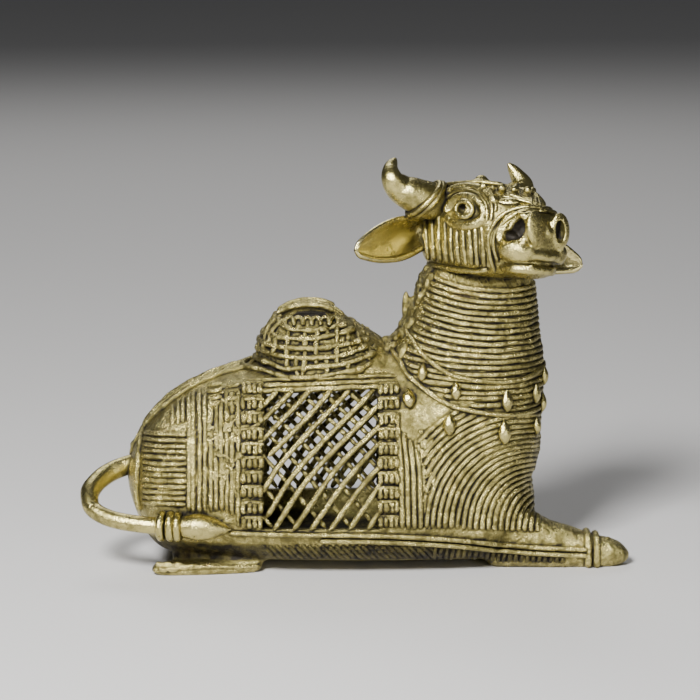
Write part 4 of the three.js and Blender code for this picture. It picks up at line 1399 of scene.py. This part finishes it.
NOSEBAND = (
    (1.0, ((494.3, 271), (490.5, 254), (489.3, 238), (494.3, 224.6), (504.2, 214.7), (520.8, 208.8),
           (537.4, 208.8), (546.5, 213))),
    (0.95, ((498.4, 261), (494.3, 244.5), (496.7, 231.2), (508.4, 219.6), (520.8, 213), (532.4, 211.3))),
)
EYE_RING_REACH, EYE_RING_WIDTH, EYE_RING_LIFT = 7.3, 1.15, 0.35
# The upright threads on the cheek and the small marks above the noseband.
CHEEK_THREAD, CHEEK_COLUMNS, CHEEK_PITCH = 1.2, (427, 488), 6.2
CHEEK_TOP_REAR, CHEEK_TOP_FRONT, CHEEK_TOP_DROPS = 200, 226, (428, 452)
CHEEK_FOOT, CHEEK_FOOT_START, CHEEK_FOOT_SLOPE = 260, 430, 0.14
MARK, MARK_PITCH, MARKS, MARK_WIDTH = ((503, 203.5), (505, 200.5), (508, 199)), 5, 3, 0.55


def eye_rings(threads, skin):
    """A ring of wire round each eye."""
    angles = [i / 24 * 2 * math.pi for i in range(24)]
    knots = [(EYE[0] + EYE_RING_REACH * math.cos(a), EYE[1] + EYE_RING_REACH * math.sin(a)) for a in angles]
    both_sides(threads, skin, seen_line(skin, knots, 1.5), EYE_RING_WIDTH, EYE_RING_LIFT, HEAD_PLACE,
               closed=True, uneven=0.03)


def cheek_threads(threads, skin):
    """Upright threads over the cheek, from under the eye to the jaw rim."""
    chance = random.Random(31)
    for px in places(*CHEEK_COLUMNS, CHEEK_PITCH):
        top = mixed(CHEEK_TOP_REAR, CHEEK_TOP_FRONT, smooth_step(*CHEEK_TOP_DROPS, px))
        bottom = CHEEK_FOOT + (px - CHEEK_FOOT_START) * CHEEK_FOOT_SLOPE
        knots = [(px - 1, top), (px + shake(chance, 0.7), (top + bottom) / 2), (px + 1.5, bottom)]
        line = seen_line(skin, knots, FINE_STEP)
        both_sides(threads, skin, line, CHEEK_THREAD, 0.05, HEAD_PLACE, uneven=0.14, sink=0.2)


def head_threads():
    skin = shared["skull"]
    threads = Threads("head_threads", 131)
    for diameter, lift, knots in HEAD_LINES:
        line = seen_line(skin, knots, FINE_STEP)
        both_sides(threads, skin, line, diameter, lift, HEAD_PLACE, uneven=0.08)
    for diameter, knots in NOSEBAND:
        near = seen_line(skin, knots, FINE_STEP)
        far = other_side(skin, near, HEAD_PLACE)
        threads.lay([*near, *reversed(far)], diameter, 0.3, uneven=0.07)
    eye_rings(threads, shared["head"])
    cheek_threads(threads, skin)
    for n in range(MARKS):
        line = seen_line(skin, [(px + n * MARK_PITCH, py) for px, py in MARK], 1.0)
        both_sides(threads, skin, line, MARK_WIDTH, 0.25, HEAD_PLACE, uneven=0.1)
    return threads.made()


# Beads on the forehead: px, py, half length, half height, half depth and whether the far side has one.
BEADS = (
    (483.8, 189.6, 1.05, 0.95, 1.4, True),
    (501.5, 190, 1.05, 0.95, 1.2, True),
    (492.8, 190, 0.6, 0.6, 0.9, True),
    (514.5, 191, 1.3, 0.85, 1.0, False),
    (509, 202, 2.2, 0.9, 0.4, False),
)


def head_beads():
    skin = shared["skull"]
    bm = bmesh.new()
    for px, py, long, high, out, twins in BEADS:
        spots = both(skin, *seen_spot(skin, px, py), HEAD_PLACE)
        for spot in spots if twins else spots[:1]:
            lump(bm, spot, (long, high, out), 0.25)
    return new_object("forehead_beads", bm)


# Finishes


BRASS_INPUTS = (
    ("Bright", "NodeSocketColor", (1, 1, 1, 1)),
    ("Body", "NodeSocketColor", (1, 1, 1, 1)),
    ("Recess", "NodeSocketColor", (0, 0, 0, 1)),
    ("Stain", "NodeSocketColor", (0.3, 0.1, 0.02, 1)),
    # Patina: how dark a spot is, patina and painted shade together.
    ("Patina", "NodeSocketFloat", 0.0),
    ("Stain amount", "NodeSocketFloat", 0.3),
    ("Grain", "NodeSocketFloat", 1.0),
)
BRASS_OUTPUTS = (
    ("Color", "NodeSocketColor"),
    ("Roughness", "NodeSocketFloat"),
    ("Metallic", "NodeSocketFloat"),
    ("Height", "NodeSocketFloat"),
)
# Sizes of the noise in the brass, as waves to a metre.
SPECKLE_SCALE, MOTTLE_SCALE, CLOUD_SCALE, STAIN_SCALE = 1500.0, 420.0, 75.0, 130.0
MOTTLE_SPREAD, CLOUD_SPREAD = 0.22, 0.12  # how far each moves the patina up or down
BODY_DARKNESS, FULL_DARKNESS = 0.42, 0.95  # darkness (patina and painted shade) at which the brass has its body colour, and its darkest
ROUGHNESS, ROUGHEST_AT, METALLIC = (0.2, 0.55), 0.9, (1.0, 0.6)  # from bright crowns to dark recesses
SPECKLE_RELIEF = 0.8
BUMP_DEPTH = 0.0006  # metres
GREY_OF_PALE = 1.25  # the grey that pale brass goes towards, as a share of its brightest channel


def socketed_group(name, inputs, outputs):
    """A new node group with these sockets, and its input and output nodes."""
    group = bpy.data.node_groups.new(name, "ShaderNodeTree")
    for label, kind, default in inputs:
        socket = group.interface.new_socket(label, in_out="INPUT", socket_type=kind)
        socket.default_value = default
    for label, kind in outputs:
        group.interface.new_socket(label, in_out="OUTPUT", socket_type=kind)
    return group, group.nodes.new("NodeGroupInput"), group.nodes.new("NodeGroupOutput")


def linked(tree, kind, inputs=(), **settings):
    """A node with its settings and inputs, each a value or another node's output."""
    node = tree.nodes.new(kind)
    for name, value in settings.items():
        setattr(node, name, value)
    for name, value in dict(inputs).items():
        if isinstance(value, bpy.types.NodeSocket):
            tree.links.new(value, node.inputs[name])
        else:
            node.inputs[name].default_value = value
    return node


def cast_brass_group():
    """Brass as cast and rubbed: bright crowns, dark recesses of patina and painted shade, warm stains and a
    fine grain.
    """
    found = bpy.data.node_groups.get("Cast brass")
    if found:
        return found
    group, given, out = socketed_group("Cast brass", BRASS_INPUTS, BRASS_OUTPUTS)
    place = linked(group, "ShaderNodeTexCoord").outputs["Object"]

    def clouds(scale, roughness, detail=4.0, distortion=0.0):
        values = {"Vector": place, "Scale": scale, "Detail": detail, "Roughness": roughness,
                  "Distortion": distortion}
        return linked(group, "ShaderNodeTexNoise", values).outputs["Fac"]

    def ranged(value, start, end, low=0.0, high=1.0):
        values = {"Value": value, "From Min": start, "From Max": end, "To Min": low, "To Max": high}
        return linked(group, "ShaderNodeMapRange", values).outputs["Result"]

    def worked(operation, a, b, clamp=False):
        return linked(group, "ShaderNodeMath", {0: a, 1: b}, operation=operation, use_clamp=clamp).outputs[0]

    def blended(share, a, b):
        values = {"Factor": share, "A": a, "B": b}
        return linked(group, "ShaderNodeMix", values, data_type="RGBA").outputs["Result"]

    speckle = clouds(SPECKLE_SCALE, 0.7)
    mottle = clouds(MOTTLE_SCALE, 0.62)
    cloud = clouds(CLOUD_SCALE, 0.55, detail=3.0)
    mottling = ranged(mottle, 0.35, 0.65, -MOTTLE_SPREAD, MOTTLE_SPREAD)
    clouding = ranged(cloud, 0.3, 0.7, -CLOUD_SPREAD, CLOUD_SPREAD)
    dark = worked("ADD", worked("ADD", given.outputs["Patina"], mottling), clouding, clamp=True)
    crown_to_body = ranged(dark, 0.0, BODY_DARKNESS)
    light = blended(crown_to_body, given.outputs["Bright"], given.outputs["Body"])
    body_to_recess = ranged(dark, BODY_DARKNESS, FULL_DARKNESS)
    coloured = blended(body_to_recess, light, given.outputs["Recess"])
    stains = ranged(clouds(STAIN_SCALE, 0.5, detail=3.0, distortion=0.6), 0.6, 0.74)
    stained = worked("MULTIPLY", stains, given.outputs["Stain amount"], clamp=True)
    results = {
        "Color": blended(stained, coloured, given.outputs["Stain"]),
        "Roughness": ranged(dark, 0.0, ROUGHEST_AT, *ROUGHNESS),
        "Metallic": ranged(body_to_recess, 0.0, 1.0, *METALLIC),
    }
    relief = worked("ADD", mottle, worked("MULTIPLY", speckle, SPECKLE_RELIEF))
    results["Height"] = worked("MULTIPLY", relief, given.outputs["Grain"])
    for label, result in results.items():
        group.links.new(result, out.inputs[label])
    return group


def antique_brass(colours, name, grain, stain, pale):
    """A finish of the cast brass: how deep its grain is, how much of it is stained and how pale it is."""
    material = bpy.data.materials.get(name)
    if material:
        return material
    material = bpy.data.materials.new(name)
    material.use_nodes = True
    tree = material.node_tree
    shader = tree.nodes["Principled BSDF"]
    patina = linked(tree, "ShaderNodeAttribute", attribute_name="patina")
    brass = tree.nodes.new("ShaderNodeGroup")
    brass.node_tree = cast_brass_group()
    tree.links.new(patina.outputs["Fac"], brass.inputs["Patina"])
    for label in ("Bright", "Body", "Recess", "Stain"):
        shade = getattr(colours, label.lower())
        grey = GREY_OF_PALE * max(shade)
        brass.inputs[label].default_value = (*(mixed(part, grey, pale) for part in shade), 1)
    brass.inputs["Grain"].default_value = grain
    brass.inputs["Stain amount"].default_value = stain
    for output, socket in (("Color", "Base Color"), ("Roughness", "Roughness"), ("Metallic", "Metallic")):
        tree.links.new(brass.outputs[output], shader.inputs[socket])
    heights = {"Height": brass.outputs["Height"], "Strength": 1.0, "Distance": BUMP_DEPTH}
    bump = linked(tree, "ShaderNodeBump", heights)
    tree.links.new(bump.outputs["Normal"], shader.inputs["Normal"])
    return material


# Stage


FLOOR_REACH, FLOOR_ROUGHNESS = 3, 0.7
SKY, SKY_STRENGTH = (0.55, 0.56, 0.58, 1), 0.14
LIGHT_TARGET = Vector((0, 0, 0.04))
LAMPS = (  # name, place, size in metres and power in watts
    ("key", (-0.2, -0.5, 0.45), 0.18, 13),
    ("fill", (0.45, -0.7, 0.12), 0.3, 1.8),
    ("rim", (-0.15, 0.9, 0.9), 0.5, 5),
)
CLIP_START, CLIP_END = 0.01, 20


def floor_plane(shade):
    bm = bmesh.new()
    bmesh.ops.create_grid(bm, x_segments=1, y_segments=1, size=FLOOR_REACH)
    floor = new_object("floor", bm)
    paint = bpy.data.materials.new("pale floor")
    paint.use_nodes = True
    shader = paint.node_tree.nodes["Principled BSDF"]
    shader.inputs["Base Color"].default_value = (*shade, 1)
    shader.inputs["Roughness"].default_value = FLOOR_ROUGHNESS
    floor.data.materials.append(paint)


def studio_sky():
    world = bpy.data.worlds.new("studio")
    world.use_nodes = True
    background = world.node_tree.nodes["Background"]
    background.inputs["Color"].default_value = SKY
    background.inputs["Strength"].default_value = SKY_STRENGTH
    return world


def lamp(name, place, size, power):
    """A square light that faces the figure."""
    light = bpy.data.lights.new(name, "AREA")
    light.shape, light.size, light.energy = "SQUARE", size, power
    holder = bpy.data.objects.new(name, light)
    holder.location = place
    holder.rotation_euler = (LIGHT_TARGET - Vector(place)).to_track_quat("-Z", "Y").to_euler()
    bpy.context.collection.objects.link(holder)


def view_camera():
    """A camera that sees the figure as the photograph shows it."""
    camera = bpy.data.cameras.new("camera")
    camera.sensor_width = SENSOR
    camera.lens = SENSOR * VIEW_DISTANCE / (2 * VIEW_CENTRE / VIEW_SCALE)
    camera.clip_start, camera.clip_end = CLIP_START, CLIP_END
    eye = bpy.data.objects.new("camera", camera)
    eye.location = TO_FRAME @ (VIEW_TARGET + VIEW_BACK * VIEW_DISTANCE)
    eye.rotation_euler = (math.pi / 2 - VIEW_ELEVATION, 0, 0)
    bpy.context.collection.objects.link(eye)
    return eye


# Add-on


def length(name, default, description):
    return bpy.props.FloatProperty(name=name, description=description, default=default, min=0.1)


def colour(name, default, description):
    return bpy.props.FloatVectorProperty(name=name, description=description, default=default, subtype="COLOR",
                                         size=3, min=0, max=1)


class BULL_PG_sizes(bpy.types.PropertyGroup):
    """Sizes of the threads and ornaments, in millimetres"""

    thread: length("Thread", 1.34, "Diameter of the wax threads on the skin, mm")
    thread_pitch: length("Thread pitch", 1.26, "From one thread to the next, mm")
    rod: length("Lattice rod", 1.28, "Diameter of the lattice rods, mm")
    cord: length("Cord", 1.15, "Diameter of the necklaces and of the cords along the flank, mm")
    tail: length("Tail", 3.3, "Diameter of the tail, mm")
    horn: length("Horn", 8.2, "Diameter of a horn at its thickest, mm")
    ear_length: length("Ear length", 21, "From root to tip, mm")
    ear_width: length("Ear width", 8.2, "Across the leaf, mm")


class BULL_PG_colours(bpy.types.PropertyGroup):
    """Colours of the antiqued brass"""

    bright: colour("Rubbed crowns", (0.6, 0.52, 0.2), "Brass rubbed bright on what stands out")
    body: colour("Brass", (0.195, 0.166, 0.054), "The brass between crowns and recesses")
    # The darkest colour, in the recesses: patina, with their shade painted in.
    recess: colour("Recesses", (0.012, 0.009, 0.005), "Dark patina between the threads")
    stain: colour("Stains", (0.2, 0.13, 0.045), "Warm tarnish in small patches")
    floor: colour("Floor", (0.52, 0.51, 0.5), "Plain pale floor")


FINISHES = {  # name of the material, grain, share of stains and paleness
    "threads": ("threaded brass", 0.85, 0.25, 0),
    "skin": ("threaded brass", 0.85, 0.25, 0),
    "face": ("face brass", 0.4, 0.1, 0),
    "smooth": ("smooth brass", 0.3, 0.1, 0),
    # The ears are made paler so that their cup reads lit: painted light.
    "leaf": ("ear brass", 0.2, 0.05, 0.08),
}


def set_aside(objects, bare=0.2, kind="threads"):
    """Keeps drawn pieces until patina and painted shade are worked out; bare is their darkness where nothing
    shuts them in.
    """
    shared["pieces"] += [(obj, bare, kind) for obj in objects]


class BULL_OT_body(bpy.types.Operator):
    """Builds the hollow skin of the trunk, neck, hump and legs"""

    bl_idname = "nandi_bull.body"
    bl_label = "Body skin"

    def execute(self, context):
        shared["body"] = body_skin()
        set_aside([shared["body"]], bare=0.25, kind="skin")
        return {"FINISHED"}


class BULL_OT_head(bpy.types.Operator):
    """Builds the head with its face, harness and forehead beads"""

    bl_idname = "nandi_bull.head"
    bl_label = "Head"

    def execute(self, context):
        set_aside([head_skin()], bare=0.12, kind="face")
        set_aside([head_threads(), head_beads()], bare=0.12, kind="smooth")
        return {"FINISHED"}


class BULL_OT_threads(bpy.types.Operator):
    """Lays the threads on the rump, chest, neck, hump and belly, and the mane"""

    bl_idname = "nandi_bull.threads"
    bl_label = "Threads"

    def execute(self, context):
        size = context.scene.nandi_bull_sizes
        set_aside(build(size) for build in (rump_threads, chest_threads, neck_threads, hump_net))
        # The threads under the belly start dark: painted shade under the belly.
        set_aside([belly_threads(size)], bare=0.7)
        set_aside([mane()], bare=0.45)
        set_aside([casting_lumps()], bare=0.1)
        return {"FINISHED"}


class BULL_OT_openwork(bpy.types.Operator):
    """Builds the lattice in each flank and the woven bands round it"""

    bl_idname = "nandi_bull.openwork"
    bl_label = "Openwork"

    def execute(self, context):
        size = context.scene.nandi_bull_sizes
        set_aside([lattice(size), bands(size)])
        return {"FINISHED"}


class BULL_OT_ornaments(bpy.types.Operator):
    """Builds the necklaces with their seeds, the cords along the flank and the anklet"""

    bl_idname = "nandi_bull.ornaments"
    bl_label = "Ornaments"

    def execute(self, context):
        size = context.scene.nandi_bull_sizes
        strings, seeds = necklaces(size)
        set_aside([strings, cords(size)])
        set_aside([seeds], bare=0.1, kind="smooth")
        return {"FINISHED"}


class BULL_OT_tail(bpy.types.Operator):
    """Builds the tail with its rings and tassel"""

    bl_idname = "nandi_bull.tail"
    bl_label = "Tail"

    def execute(self, context):
        set_aside(tail(context.scene.nandi_bull_sizes), bare=0.15, kind="smooth")
        return {"FINISHED"}


class BULL_OT_horns_and_ears(bpy.types.Operator):
    """Builds the horns with their wraps, and the ears"""

    bl_idname = "nandi_bull.horns_and_ears"
    bl_label = "Horns and ears"

    def execute(self, context):
        size = context.scene.nandi_bull_sizes
        set_aside(horns(size), bare=0.15, kind="smooth")
        # Bare 0 keeps the ears bright: painted light in their cup.
        set_aside(ears(size), bare=0, kind="leaf")
        return {"FINISHED"}


class BULL_OT_patina_and_shade(bpy.types.Operator):
    """Darkens the recesses of every piece with patina and painted shade, and gives each its material"""

    bl_idname = "nandi_bull.patina"
    bl_label = "Patina"

    def execute(self, context):
        shade_recesses(shared["pieces"])
        for obj, _, kind in shared["pieces"]:
            material = antique_brass(context.scene.nandi_bull_colours, *FINISHES[kind])
            finished(obj, material, ["nandi_bull"] if obj is shared["body"] else ())
        return {"FINISHED"}


class BULL_OT_stage(bpy.types.Operator):
    """Makes the floor, the lights and the camera"""

    bl_idname = "nandi_bull.stage"
    bl_label = "Stage"

    def execute(self, context):
        floor_plane(context.scene.nandi_bull_colours.floor)
        context.scene.world = studio_sky()
        for row in LAMPS:
            lamp(*row)
        context.scene.camera = view_camera()
        return {"FINISHED"}


STEPS = (BULL_OT_stage, BULL_OT_body, BULL_OT_threads, BULL_OT_openwork, BULL_OT_ornaments, BULL_OT_tail,
         BULL_OT_horns_and_ears, BULL_OT_head, BULL_OT_patina_and_shade)


class BULL_PT_panel(bpy.types.Panel):
    """Sizes, colours and the building steps"""

    bl_idname = "BULL_PT_panel"
    bl_label = "Nandi bull"
    bl_space_type = "VIEW_3D"
    bl_region_type = "UI"
    bl_category = "Nandi bull"

    def draw(self, context):
        for settings in (context.scene.nandi_bull_sizes, context.scene.nandi_bull_colours):
            box = self.layout.box()
            for name in settings.__annotations__:
                box.prop(settings, name)
        for step in STEPS:
            self.layout.operator(step.bl_idname)


CLASSES = (BULL_PG_sizes, BULL_PG_colours, *STEPS, BULL_PT_panel)


def register():
    for cls in CLASSES:
        bpy.utils.register_class(cls)
    bpy.types.Scene.nandi_bull_sizes = bpy.props.PointerProperty(type=BULL_PG_sizes)
    bpy.types.Scene.nandi_bull_colours = bpy.props.PointerProperty(type=BULL_PG_colours)


def unregister():
    del bpy.types.Scene.nandi_bull_sizes
    del bpy.types.Scene.nandi_bull_colours
    for cls in reversed(CLASSES):
        bpy.utils.unregister_class(cls)


def main():
    register()
    for step in STEPS:
        group, name = step.bl_idname.split(".")
        getattr(getattr(bpy.ops, group), name)()


if __name__ == "__main__":
    main()
